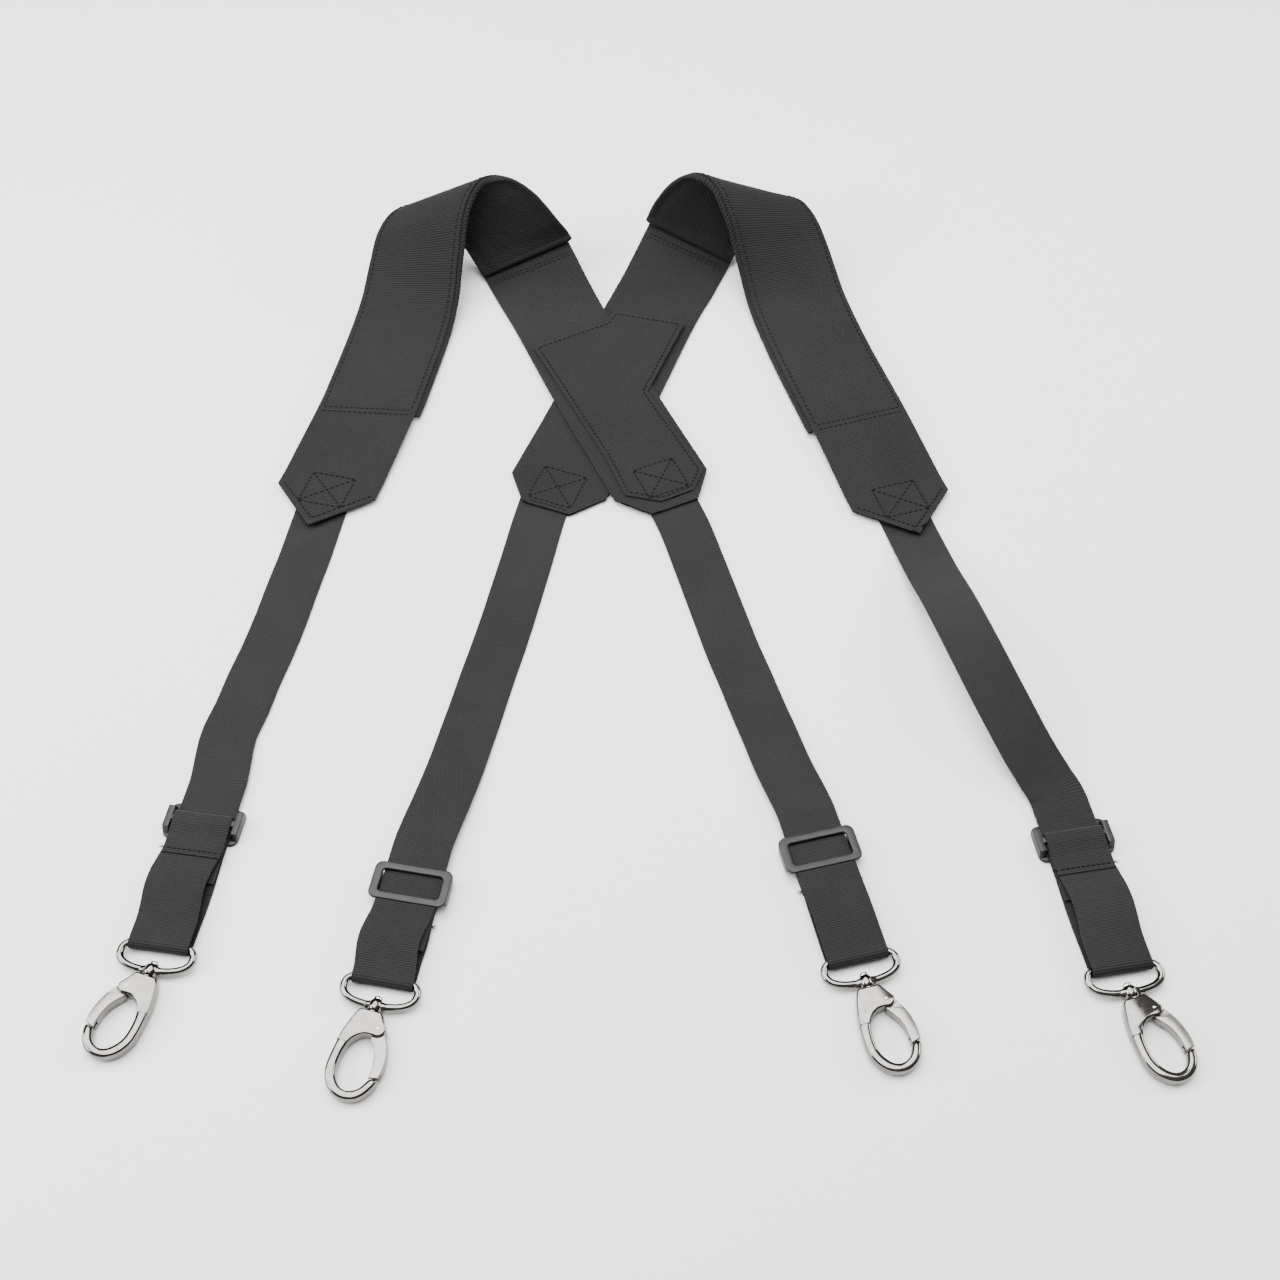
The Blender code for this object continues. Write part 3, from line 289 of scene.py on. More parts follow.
def make_weave_group():
    """Ribs across a band with yarns twisted into them, from a pattern in metres. Shade is painted shade:
    darker in the grooves between ribs and yarns, with fine fuzz.
    """
    group, ends, out = new_group(
        "woven_ribs",
        [("Pattern", "NodeSocketVector", None), ("Rib Pitch", "NodeSocketFloat", 0.0015),
         ("Yarn Pitch", "NodeSocketFloat", 0.0008), ("Unevenness", "NodeSocketFloat", 0.3)],
        [("Height", "NodeSocketFloat"), ("Shade", "NodeSocketFloat")],
    )
    pattern = ends.outputs["Pattern"]
    parts = group.nodes.new("ShaderNodeSeparateXYZ")
    group.links.new(pattern, parts.inputs[0])
    wander = noise_texture(group, pattern, 260.0, 2.0)
    shift = maths(group, "MULTIPLY", maths(group, "SUBTRACT", wander, 0.5), ends.outputs["Unevenness"])
    along = maths(group, "ADD", maths(group, "DIVIDE", parts.outputs["Y"], ends.outputs["Rib Pitch"]), shift)
    rib = maths(group, "ABSOLUTE", maths(group, "SINE", maths(group, "MULTIPLY", along, math.pi)))
    rib = maths(group, "POWER", rib, 0.6)
    step = maths(group, "MULTIPLY", maths(group, "FLOOR", along), 0.5)
    across = maths(
        group, "ADD", maths(group, "DIVIDE", parts.outputs["X"], ends.outputs["Yarn Pitch"]), step
    )
    yarn = maths(group, "ABSOLUTE", maths(group, "SINE", maths(group, "MULTIPLY", across, math.pi)))
    yarn = maths(group, "POWER", yarn, 0.5)
    fuzz = noise_texture(group, pattern, 5200.0, 2.0, 0.7)
    weave = maths(group, "MULTIPLY", rib, maths(group, "MULTIPLY_ADD", yarn, 0.12, 0.88))
    group.links.new(maths(group, "MULTIPLY_ADD", fuzz, 0.18, weave), out.inputs["Height"])
    # Painted shade: the weave's colour darkens where it lies low, in the grooves, plus fine fuzz.
    shade = maths(group, "MULTIPLY_ADD", fuzz, 0.25, maths(group, "MULTIPLY", weave, 0.8))
    group.links.new(shade, out.inputs["Shade"])
    return group


def make_patina_group():
    """Broad handling marks, fine speckle and faint scratches on a hard surface."""
    group, ends, out = new_group(
        "handling_marks",
        [("Position", "NodeSocketVector", None), ("Mark Size", "NodeSocketFloat", 90.0)],
        [("Marks", "NodeSocketFloat"), ("Grain", "NodeSocketFloat"), ("Scratches", "NodeSocketFloat")],
    )
    position = ends.outputs["Position"]
    marks = noise_texture(group, position, ends.outputs["Mark Size"], 4.0, 0.6)
    group.links.new(spread(group, marks, 0.35, 0.7), out.inputs["Marks"])
    group.links.new(noise_texture(group, position, 2600.0, 2.0, 0.6), out.inputs["Grain"])
    stretch = group.nodes.new("ShaderNodeMapping")
    stretch.inputs["Rotation"].default_value = (0.0, 0.0, 0.3)
    stretch.inputs["Scale"].default_value = (2200.0, 60.0, 700.0)
    group.links.new(position, stretch.inputs["Vector"])
    group.links.new(noise_texture(group, stretch.outputs[0], 1.0, 3.0, 0.7), out.inputs["Scratches"])
    return group


weave_group = make_weave_group()
patina_group = make_patina_group()


def new_material(name, **sockets):
    """A Principled material; plain values are set on its own sockets."""
    made = bpy.data.materials.new(name)
    made.use_nodes = True
    shader = made.node_tree.nodes["Principled BSDF"]
    for label, value in sockets.items():
        shader.inputs[label.replace("_", " ")].default_value = value
    return made, made.node_tree, shader


def place_group(tree, group, **values):
    node = tree.nodes.new("ShaderNodeGroup")
    node.node_tree = group
    for label, value in values.items():
        wire(tree, value, node.inputs[label.replace("_", " ")])
    return node


def add_bump(tree, shader, height, distance, strength=1.0):
    bump = tree.nodes.new("ShaderNodeBump")
    bump.inputs["Strength"].default_value = strength
    bump.inputs["Distance"].default_value = distance
    tree.links.new(height, bump.inputs["Height"])
    tree.links.new(bump.outputs["Normal"], shader.inputs["Normal"])


def webbing_material(name, dark, light, rib, yarn, depth, turned=0.0, sheen=0.05):
    """Woven cloth on the piece's own UV map, which is in metres, with painted shade in the weave's grooves,
    random fading and lint.
    """
    made, tree, shader = new_material(
        name, Specular_IOR_Level=0.12, Sheen_Weight=sheen, Sheen_Roughness=0.45
    )
    uv = tree.nodes.new("ShaderNodeUVMap")
    uv.uv_map = "weave"
    vector = uv.outputs[0]
    if turned:
        mapping = tree.nodes.new("ShaderNodeMapping")
        mapping.inputs["Rotation"].default_value = (0.0, 0.0, turned)
        tree.links.new(vector, mapping.inputs["Vector"])
        vector = mapping.outputs[0]
    weave = place_group(tree, weave_group, Pattern=vector, Rib_Pitch=rib, Yarn_Pitch=yarn)
    position = tree.nodes.new("ShaderNodeTexCoord").outputs["Object"]
    fade = spread(tree, noise_texture(tree, position, 14.0, 5.0, 0.6), 0.3, 0.7, -0.12, 0.12)
    lint = spread(tree, noise_texture(tree, position, 900.0, 2.0, 0.8), 0.72, 0.80, 0.0, 0.5)
    # Painted groove shade from the weave, plus random fading and light lint.
    shade_and_tone = maths(tree, "ADD", maths(tree, "ADD", weave.outputs["Shade"], fade), lint)
    tree.links.new(blend_colours(tree, shade_and_tone, (*dark, 1.0), (*light, 1.0)), shader.inputs["Base Color"])
    tree.links.new(spread(tree, weave.outputs["Height"], 0.0, 1.0, 0.95, 0.72), shader.inputs["Roughness"])
    add_bump(tree, shader, weave.outputs["Height"], depth)
    return made


def hard_material(name, dark, light, smooth, rough, bump, grain="Grain", marks=90.0, **sockets):
    """Metal or moulded plastic with handling marks."""
    made, tree, shader = new_material(name, **sockets)
    position = tree.nodes.new("ShaderNodeTexCoord").outputs["Object"]
    patina = place_group(tree, patina_group, Position=position, Mark_Size=marks)
    tree.links.new(
        blend_colours(tree, patina.outputs["Marks"], (*dark, 1.0), (*light, 1.0)), shader.inputs["Base Color"]
    )
    uneven = maths(tree, "MULTIPLY_ADD", patina.outputs["Scratches"], 0.35, patina.outputs["Marks"])
    tree.links.new(spread(tree, uneven, 0.0, 1.3, smooth, rough), shader.inputs["Roughness"])
    add_bump(tree, shader, patina.outputs[grain], bump)
    return made


wide_webbing = webbing_material(
    "wide_webbing", (0.0024, 0.0024, 0.0026), (0.0165, 0.0165, 0.0171), 1.9 * MM, 1.1 * MM, 0.45 * MM
)
leg_webbing = webbing_material(
    "leg_webbing", (0.0028, 0.0028, 0.0030), (0.0200, 0.0200, 0.0206), 1.5 * MM, 0.9 * MM, 0.35 * MM
)
patch_cloth = webbing_material(
    "patch_cloth", (0.0034, 0.0034, 0.0036), (0.0160, 0.0160, 0.0166), 1.7 * MM, 1.0 * MM, 0.35 * MM
)
lining_mesh = webbing_material(
    "lining_mesh", (0.0026, 0.0026, 0.0027), (0.0160, 0.0160, 0.0166), 2.2 * MM, 2.2 * MM, 0.6 * MM,
    turned=math.radians(40), sheen=0.03,
)
# Dark binding: its own colour on the pad hem; on the front folds its darkness is painted shade under the tab
# points.
binding_and_fold_shade = webbing_material(
    "binding_and_fold_shade", (0.0020, 0.0020, 0.0021), (0.0105, 0.0105, 0.0109), 0.9 * MM, 0.9 * MM, 0.2 * MM
)
slider_plastic = hard_material(
    "slider_plastic", (0.0042, 0.0044, 0.0047), (0.0085, 0.0088, 0.0094), 0.32, 0.50, 0.04 * MM,
    marks=160.0, Specular_IOR_Level=0.35,
)
dark_nickel = hard_material(
    "dark_nickel", (0.150, 0.143, 0.134), (0.205, 0.195, 0.183), 0.06, 0.15, 0.006 * MM, marks=120.0,
    Metallic=1.0, Coat_Weight=0.15, Coat_Roughness=0.08,
)
brushed_nickel = hard_material(
    "brushed_nickel", (0.190, 0.182, 0.171), (0.260, 0.249, 0.234), 0.20, 0.34, 0.04 * MM, grain="Scratches",
    Metallic=1.0,
)
bright_nickel = hard_material(
    "bright_nickel", (0.62, 0.60, 0.57), (0.78, 0.76, 0.73), 0.08, 0.20, 0.008 * MM, Metallic=1.0,
)


def thread_material():
    """Twisted sewing thread."""
    made, tree, shader = new_material("sewing_thread", Roughness=0.75, Specular_IOR_Level=0.15)
    position = tree.nodes.new("ShaderNodeTexCoord").outputs["Object"]
    twist = noise_texture(tree, position, 3400.0, 2.0, 0.6)
    colour = blend_colours(tree, twist, (0.0008, 0.0008, 0.0009, 1.0), (0.004, 0.004, 0.0042, 1.0))
    tree.links.new(colour, shader.inputs["Base Color"])
    add_bump(tree, shader, twist, 0.1 * MM)
    return made


sewing_thread = thread_material()


# ---------------------------------------------------------------- pieces
def finish_piece(name, bm, finish, body, replaces=(), sharp=math.radians(40)):
    """Turn a bmesh into a piece that rides on a body."""
    bmesh.ops.recalc_face_normals(bm, faces=bm.faces)
    if bm.calc_volume(signed=True) < 0:
        bmesh.ops.reverse_faces(bm, faces=bm.faces)
    mesh = bpy.data.meshes.new(name)
    bm.to_mesh(mesh)
    bm.free()
    mesh.shade_smooth()
    mesh.set_sharp_from_angle(angle=sharp)
    piece = bpy.data.objects.new(name, mesh)
    bpy.context.collection.objects.link(piece)
    mesh.materials.append(finish)
    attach(piece, body)
    if replaces:
        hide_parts(*replaces)
    return piece


def spline_point(points, at):
    """Catmull-Rom curve through a list of vectors; whole numbers fall on the points."""
    last = len(points) - 1
    start = min(max(int(math.floor(at)), 0), last - 1)
    t = at - start
    p1 = points[start]
    p2 = points[start + 1]
    p0 = points[start - 1] if start > 0 else p1 * 2 - p2
    p3 = points[start + 2] if start + 2 <= last else p2 * 2 - p1
    return 0.5 * (
        p1 * 2
        + (p2 - p0) * t
        + (p0 * 2 - p1 * 5 + p2 * 4 - p3) * t * t
        + (p1 * 3 - p0 - p2 * 3 + p3) * t * t * t
    )


def even_steps(first, last, count):
    return [first + (last - first) * step / count for step in range(count + 1)]


class Run:
    """A line that webbing follows, as close stations of middle, across and outward normal."""

    def __init__(self, stations, end_rise=0.0):
        self.middles = [station[0] for station in stations]
        self.across = [station[1] for station in stations]
        self.normals = [station[2] for station in stations]
        self.distances = [0.0]
        for before, after in zip(self.middles, self.middles[1:]):
            self.distances.append(self.distances[-1] + (after - before).length)
        self.length = self.distances[-1]
        self.end_rise = end_rise

    def frame(self, distance):
        """Middle, across and normal at a distance; straight on past both ends."""
        inside = min(max(distance, 0.0), self.length)
        low, high = 0, len(self.distances) - 1
        while high - low > 1:
            centre = (low + high) // 2
            if self.distances[centre] <= inside:
                low = centre
            else:
                high = centre
        span = self.distances[high] - self.distances[low]
        share = (inside - self.distances[low]) / span if span else 0.0
        middle = self.middles[low].lerp(self.middles[high], share)
        across = self.across[low].lerp(self.across[high], share).normalized()
        normal = self.normals[low].lerp(self.normals[high], share).normalized()
        over = distance - inside
        if over:
            ahead = self.middles[high] - self.middles[low]
            level = Vector((ahead.x, ahead.y, 0.0)).normalized()
            middle = middle + level * over
            middle.z += self.end_rise * max(over, 0.0) / FRONT_TIP_REACH
        return middle, across, normal

    def point(self, distance, across, lift):
        middle, sideways, normal = self.frame(distance)
        return middle + sideways * across + normal * lift

    def at_rung(self, rung):
        """Distance of a rung of a shoulder's run."""
        return self.distances[rung * STATIONS_PER_RUNG]


def loft(rows, columns, place, pattern=None, closed_rows=False):
    """A skin round closed sections: place(row, column) gives the points and pattern(row, column) the UV."""
    bm = bmesh.new()
    row_cells = rows if closed_rows else rows - 1
    bmesh.ops.create_grid(bm, x_segments=columns, y_segments=row_cells, size=0.5)
    cell = {
        vert: (round((vert.co.y + 0.5) * row_cells), round((vert.co.x + 0.5) * columns)) for vert in bm.verts
    }
    if pattern:
        layer = bm.loops.layers.uv.new("weave")
        for face in bm.faces:
            for loop in face.loops:
                row, column = cell[loop.vert]
                loop[layer].uv = pattern(row % rows if closed_rows else row, column % columns)
    for vert, (row, column) in cell.items():
        vert.co = place(row % rows if closed_rows else row, column % columns)
    bmesh.ops.remove_doubles(bm, verts=bm.verts, dist=1e-6)
    if not closed_rows:
        rims = [edge for edge in bm.edges if edge.is_boundary]
        bmesh.ops.holes_fill(bm, edges=rims, sides=0)
    return bm


def band_section(half, low, high, columns=10, edge_steps=3, edge_bulge=0.0):
    """Closed section of a band: flat faces and rounded edges, as (across, lift) points."""
    round_off = (high - low) / 2
    middle = (low + high) / 2
    flat = half - round_off

    def rounded_edge(side, start):
        turns = [start - math.pi * step / (edge_steps + 1) for step in range(1, edge_steps + 1)]
        return [
            (side * flat + round_off * math.cos(turn), middle + (round_off + edge_bulge) * math.sin(turn))
            for turn in turns
        ]

    section = [(across, high) for across in even_steps(-flat, flat, columns)]
    section += rounded_edge(1, math.pi / 2)
    section += [(across, low) for across in even_steps(flat, -flat, columns)]
    return section + rounded_edge(-1, -math.pi / 2)


def band(run, stations, section, ripple=None):
    """A band along a run. A station is a distance, or a function of the distance across."""
    def distance(row, across):
        station = stations[row]
        return station(across) if callable(station) else station

    def place(row, column):
        across, lift = section[column]
        along = distance(row, across)
        if ripple:
            lift += ripple(along, across)
        return run.point(along, across, lift)

    def pattern(row, column):
        across = section[column][0]
        return (across, distance(row, across))

    return loft(len(stations), len(section), place, pattern)


def add_stitch(bm, start, end, normal, radius=THREAD_RADIUS):
    """One sunk stitch of thread between two points."""
    along = end - start
    side = normal.cross(along).normalized()
    up = along.cross(side).normalized()
    turn = Matrix((along.normalized(), side, up)).transposed().to_4x4()
    size = Matrix.Diagonal((along.length / 2, radius * 1.25, radius, 1.0))
    bmesh.ops.create_uvsphere(
        bm, u_segments=6, v_segments=5, radius=1.0,
        matrix=Matrix.Translation((start + end) / 2) @ turn @ size @ Matrix.Rotation(math.pi / 2, 4, "Y"),
    )


def sew(bm, run, path, lift, outward=1.0, pitch=STITCH_PITCH, length=STITCH_LENGTH):
    """Stitches along a path of (distance, across) corners on a run."""
    half_stitch = length / pitch / 2
    for before, after in zip(path, path[1:]):
        span = math.hypot(after[0] - before[0], after[1] - before[1])
        count = max(1, round(span / pitch))
        for step in range(count):
            points = []
            for share in ((step + 0.5 - half_stitch) / count, (step + 0.5 + half_stitch) / count):
                along = before[0] + (after[0] - before[0]) * share
                across = before[1] + (after[1] - before[1]) * share
                points.append(run.point(along, across, lift))
            normal = run.frame(before[0] + (after[0] - before[0]) * step / count)[2] * outward
            add_stitch(bm, points[0], points[1], normal)


def box_and_cross(bm, run, low, high, half, lift, outward=1.0):
    """The sewn box with a cross in it that holds two bands together."""
    corners = [(low, -half), (low, half), (high, half), (high, -half), (low, -half)]
    sew(bm, run, corners, lift, outward)
    sew(bm, run, [(low, -half), (high, half)], lift, outward)
    sew(bm, run, [(low, half), (high, -half)], lift, outward)


# ---------------------------------------------------------------- shoulders
STATIONS_PER_RUNG = 16


def shoulder_run(rungs):
    """A run over the shoulder, from rungs that cross the webbing's body side."""
    left = [Vector(rung[0]) - LAYOUT_CENTRE for rung in rungs]
    right = [Vector(rung[1]) - LAYOUT_CENTRE for rung in rungs]
    last = len(rungs) - 1

    def middle(at):
        return (spline_point(left, at) + spline_point(right, at)) / 2

    stations = []
    for at in even_steps(0, last, last * STATIONS_PER_RUNG):
        along = (middle(min(at + 0.01, last)) - middle(max(at - 0.01, 0))).normalized()
        across = (spline_point(right, at) - spline_point(left, at)).normalized()
        stations.append((middle(at), across, along.cross(across).normalized()))
    return Run(stations, TIP_RISE)


def front_tab_reach(across):
    """Pointed end: corners near the last rung, tip in the middle."""
    return FRONT_TIP_REACH - (FRONT_TIP_REACH - FRONT_CORNER_REACH) * min(abs(across) / SHOULDER_HALF, 1.0)


def back_tab_reach(across):
    """Blunt end: half of the width at its end."""
    return BACK_END_REACH * min(1.0, 2 * (1 - min(abs(across) / SHOULDER_HALF, 1.0)))


def soft_wave(seed, size, amount):
    """A gentle unevenness of cloth, the same on both of its faces."""
    def ripple(along, across):
        return amount * noise.noise(Vector((along / size, across / size * 1.5, seed)))
    return ripple


def shoulder_stations(run):
    """Blunt back end, even steps over the shoulder, pointed front end."""
    stations = []
    for share in (1.0, 0.75, 0.5, 0.25):
        stations.append(lambda across, share=share: -share * back_tab_reach(across))
    stations += even_steps(0.0, run.length, round(run.length / STRAP_STEP))
    tip_steps = 10
    for step in range(1, tip_steps + 1):
        stations.append(lambda across, step=step: run.length + step / tip_steps * front_tab_reach(across))
    return stations


def build_shoulder_strap(side, run):
    section = band_section(SHOULDER_HALF, 0.0, SHOULDER_THICK, columns=16, edge_bulge=0.15 * MM)
    seed = 1 if side == "left" else 0
    bm = band(run, shoulder_stations(run), section, soft_wave(seed, 45 * MM, 0.12 * MM))
    finish_piece(f"{side}_webbing", bm, wide_webbing, "harness", [f"{side}_shoulder_strap"])


def build_pad(side, run, inner):
    """Padded underside: foam behind mesh, pinched by the two long seams, puckered inside the bend."""
    first = run.at_rung(PAD_FIRST_RUNG)
    last = run.at_rung(PAD_LAST_RUNG)
    seam = SHOULDER_HALF - PAD_SEAM_INSET
    seam_width = 2.0 * MM
    seam_depth = 1.5 * MM
    top = -CLEARANCE
    low = top - PAD_DEPTH + CLEARANCE
    middle = (top + low) / 2
    shift = inner * PAD_SHIFT
    edge_wide = 2.4 * MM
    edge_tall = 2.3 * MM
    flat = PAD_HALF - edge_wide

    def rounded_edge(edge_side, turns):
        return [
            (edge_side * flat + edge_wide * math.cos(angle), middle + edge_tall * math.sin(angle))
            for angle in map(math.radians, turns)
        ]

    outline = [(across, top) for across in even_steps(-flat, flat, 14)]
    outline += rounded_edge(1, (60, 25, -5, -35, -65))
    inner_half = PAD_HALF - 3.2 * MM
    for across in even_steps(inner_half, -inner_half, 30):
        pinch = math.exp(-((abs(across) - seam) / seam_width) ** 2)
        crown = 1.0 - 0.10 * (across / inner_half) ** 2
        outline.append((across, low * crown + seam_depth * pinch))
    outline += rounded_edge(-1, (-115, -145, -175, 155, 120))
    rows = round((last - first) / PAD_STEP)
    seed = 3.7 if side == "left" else 9.2

    def place(row, column):
        across, lift = outline[column]
        share = row / rows
        along = first + (last - first) * share
        close = min(share, 1 - share) * rows
        if close < 2:
            lift = top + (lift - top) * (0.55 + 0.225 * close)
        elif lift < -2 * MM:
            bend = math.exp(-((along - first) / (last - first) - 0.36) ** 2 / 0.03)
            waver = 2.0 * noise.noise(Vector((across / 0.03, along / 0.05, seed)))
            crease = math.sin(along / (5.2 * MM) + waver)
            puff = noise.noise(Vector((along / 0.028, across / 0.02, seed)))
            lift += (0.25 * puff + 0.32 * bend * crease) * MM
        return run.point(along, across + shift, lift)

    def pattern(row, column):
        return (outline[column][0], first + (last - first) * row / rows)

    bm = loft(rows + 1, len(outline), place, pattern)
    pad = finish_piece(f"{side}_pad", bm, lining_mesh, "harness", [f"{side}_pad_foam", f"{side}_pad_lining"])
    build_hem(side, run, first, shift)
    return first, last


def build_hem(side, run, first, shift):
    """Bound edge of the pad where it starts behind the shoulder."""
    radius = 1.9 * MM
    half_wide = 2.6 * MM
    half_tall = 2.3 * MM
    middle = -2.9 * MM
    half_length = PAD_HALF - 0.5 * MM
    rows = 24
    columns = 14

    def place(row, column):
        across = -half_length + 2 * half_length * row / rows
        turn = 2 * math.pi * column / columns
        fade = 1.0 if 0 < row < rows else 0.6
        wobble = 0.25 * MM * noise.noise(Vector((across / 0.012, 1.0, 5.0)))
        along = first + half_wide * math.cos(turn) * fade + wobble
        lift = middle + half_tall * math.sin(turn) * fade
        return run.point(along, across + shift, lift)

    def pattern(row, column):
        return (radius * 2 * math.pi * column / columns, 2 * PAD_HALF * row / rows)

    finish_piece(f"{side}_pad_hem", loft(rows + 1, columns, place, pattern), binding_and_fold_shade, "harness")


def sew_shoulder(side, run, first, last):
    """Thread of one shoulder: pad seams, front stitch lines, the box and cross of each tab."""
    bm = bmesh.new()
    outer = SHOULDER_THICK + STITCH_PROUD
    tab_outer = outer + 0.1 * MM
    edge = SHOULDER_HALF - 4 * MM
    for across in (-edge, edge):
        seam = [(first + 6 * MM, across), (last - 4 * MM, across)]
        sew(bm, run, seam, outer, pitch=4.6 * MM, length=3.4 * MM)
    for along in (last - 3 * MM, last + 1.5 * MM):
        sew(bm, run, [(along, -edge), (along, edge)], outer)
    for along in (first + 6 * MM, first + 9 * MM):
        sew(bm, run, [(along, -edge), (along, edge)], outer)
    box_and_cross(bm, run, run.length, run.length + 30 * MM, 16.5 * MM, tab_outer)
    hem = SHOULDER_HALF - 3 * MM
    corner = run.length + front_tab_reach(hem) - 5 * MM
    tip = run.length + FRONT_TIP_REACH - 7 * MM
    sew(bm, run, [(corner, -hem + 1 * MM), (tip, 0.0), (corner, hem - 1 * MM)], tab_outer)
    finish_piece(f"{side}_outer_stitches", bm, sewing_thread, "harness")
    bm = bmesh.new()
    under = -STITCH_PROUD
    if side == "right":
        box_and_cross(bm, run, -18 * MM, 14 * MM, 17 * MM, under, -1.0)
        back_hem = -BACK_END_REACH + 3 * MM
        sew(bm, run, [(back_hem, -15 * MM), (back_hem, 15 * MM)], under, -1.0)
    for along in (first - 9 * MM, first - 12 * MM):
        sew(bm, run, [(along, -edge), (along, edge)], under, -1.0)
    finish_piece(f"{side}_body_side_stitches", bm, sewing_thread, "harness")


def build_front_fold(side, run):
    """The turned-under layer of a front tab, seen as a dark edge below its point: the fold is real, its
    darker binding finish is painted shade under the raised tip.
    """
    section = band_section(SHOULDER_HALF - 2.5 * MM, -1.0 * MM, -0.15 * MM, columns=12, edge_steps=2)
    stations = []
    for share in even_steps(0.35, 0.965, 8):
        stations.append(lambda across, share=share: run.length + share * front_tab_reach(across))
    bm = band(run, stations, section)
    # The darker binding finish here is painted shade under the tab's point.
    finish_piece(f"{side}_tip_fold_and_shade", bm, binding_and_fold_shade, "harness")


# ---------------------------------------------------------------- patch
def build_patch():
    """Flat patch over the crossing, with rounded edges, its stitching and a sewn box."""
    stitch_lift = 0.15 * MM
    corners = [Vector((x, y, 0.0)) - LAYOUT_CENTRE for x, y in PATCH_OUTLINE]
    grain = Vector((0.41, -0.912)).normalized()
    bm = bmesh.new()
    face = bm.faces.new([bm.verts.new((corner.x, corner.y, PATCH_LOW)) for corner in corners])
    made = bmesh.ops.extrude_face_region(bm, geom=[face])
    raised = [item for item in made["geom"] if isinstance(item, bmesh.types.BMVert)]
    bmesh.ops.translate(bm, vec=(0, 0, PATCH_THICK), verts=raised)
    rim = [edge for edge in bm.edges if all(vert in raised for vert in edge.verts)]
    bmesh.ops.bevel(bm, geom=rim, offset=0.5 * MM, segments=3, affect="EDGES", profile=0.5, material=-1)
    low_x = min(corner.x for corner in corners)
    high_x = max(corner.x for corner in corners)
    low_y = min(corner.y for corner in corners)
    high_y = max(corner.y for corner in corners)
    for share in even_steps(0, 1, 30)[1:-1]:
        for origin, normal in (
            (Vector((low_x + (high_x - low_x) * share, 0, 0)), (1, 0, 0)),
            (Vector((0, low_y + (high_y - low_y) * share, 0)), (0, 1, 0)),
        ):
            everything = bm.verts[:] + bm.edges[:] + bm.faces[:]
            bmesh.ops.bisect_plane(bm, geom=everything, dist=1e-7, plane_co=origin, plane_no=normal)
    layer = bm.loops.layers.uv.new("weave")
    for face in bm.faces:
        for loop in face.loops:
            at = loop.vert.co
            loop[layer].uv = (at.x * grain.y - at.y * grain.x, at.x * grain.x + at.y * grain.y)
    for vert in bm.verts:
        if vert.co.z > PATCH_LOW + PATCH_THICK / 2:
            vert.co.z += 0.25 * MM * noise.noise(Vector((vert.co.x / 0.02, vert.co.y / 0.02, 2.0)))
    patch = finish_piece("crossing_patch", bm, patch_cloth, "harness", ["back_patch"])

    bm = bmesh.new()
    flat = Run([(Vector((0, 0, PATCH_LOW + PATCH_THICK)), Vector((1, 0, 0)), Vector((0, 0, 1))),
                (Vector((0, 1, PATCH_LOW + PATCH_THICK)), Vector((1, 0, 0)), Vector((0, 0, 1)))])
    seam_inset = 3.5 * MM
    inset = []
    for before, here, after in zip(corners[-1:] + corners[:-1], corners, corners[1:] + corners[:1]):
        side_in = (here - before).normalized().cross(Vector((0, 0, 1)))
        side_out = (after - here).normalized().cross(Vector((0, 0, 1)))
        inward = (side_in + side_out).normalized()
        inset.append(here + inward * seam_inset / max(inward.dot(side_in), 0.35))
    path = [(point.y, point.x) for point in inset + inset[:1]]
    sew(bm, flat, path, stitch_lift)
    tab = Vector((0.0155, 0.0830, 0.0)) - LAYOUT_CENTRE
    along = Vector((grain.x, grain.y, 0.0))
    wide = Vector((-grain.y, grain.x, 0.0))
    square = [tab + along * a * 15 * MM + wide * b * 16 * MM for a, b in ((-1, -1), (-1, 1), (1, 1), (1, -1))]
    for path in (square + square[:1], square[0::2], square[1::2]):
        sew(bm, flat, [(point.y, point.x) for point in path], stitch_lift)
    finish_piece("patch_stitches", bm, sewing_thread, "harness")


# ---------------------------------------------------------------- legs
STATIONS_PER_POINT = 12


def leg_frames(leg):
    """Frames of the slider, ring, hook and gate, and the length from slider to ring."""
    slider = Vector((*leg["slider"], MIDDLE_PLANE)) - LAYOUT_CENTRE
    ring = Vector((*leg["ring"], MIDDLE_PLANE)) - LAYOUT_CENTRE
    run = ring - slider
    heading = math.atan2(run.y, run.x)
    roll = math.pi if leg["flipped"] else 0.0
    adjuster = Matrix.Translation(slider) @ Euler((roll, 0.0, heading)).to_matrix().to_4x4()
    bar = adjuster @ Matrix.Translation((run.length, 0.0, 0.0))
    tilt = math.radians(-leg["hook_tilt"] if leg["flipped"] else leg["hook_tilt"])
    turn = Euler((leg["hook_roll"], 0.0, tilt)).to_matrix().to_4x4()
    hook = bar @ Matrix.Translation((RING_DEPTH, 0.0, 0.0)) @ turn
    return {"adjuster": adjuster, "ring": bar, "hook": hook, "run": run.length, "tilt": tilt}


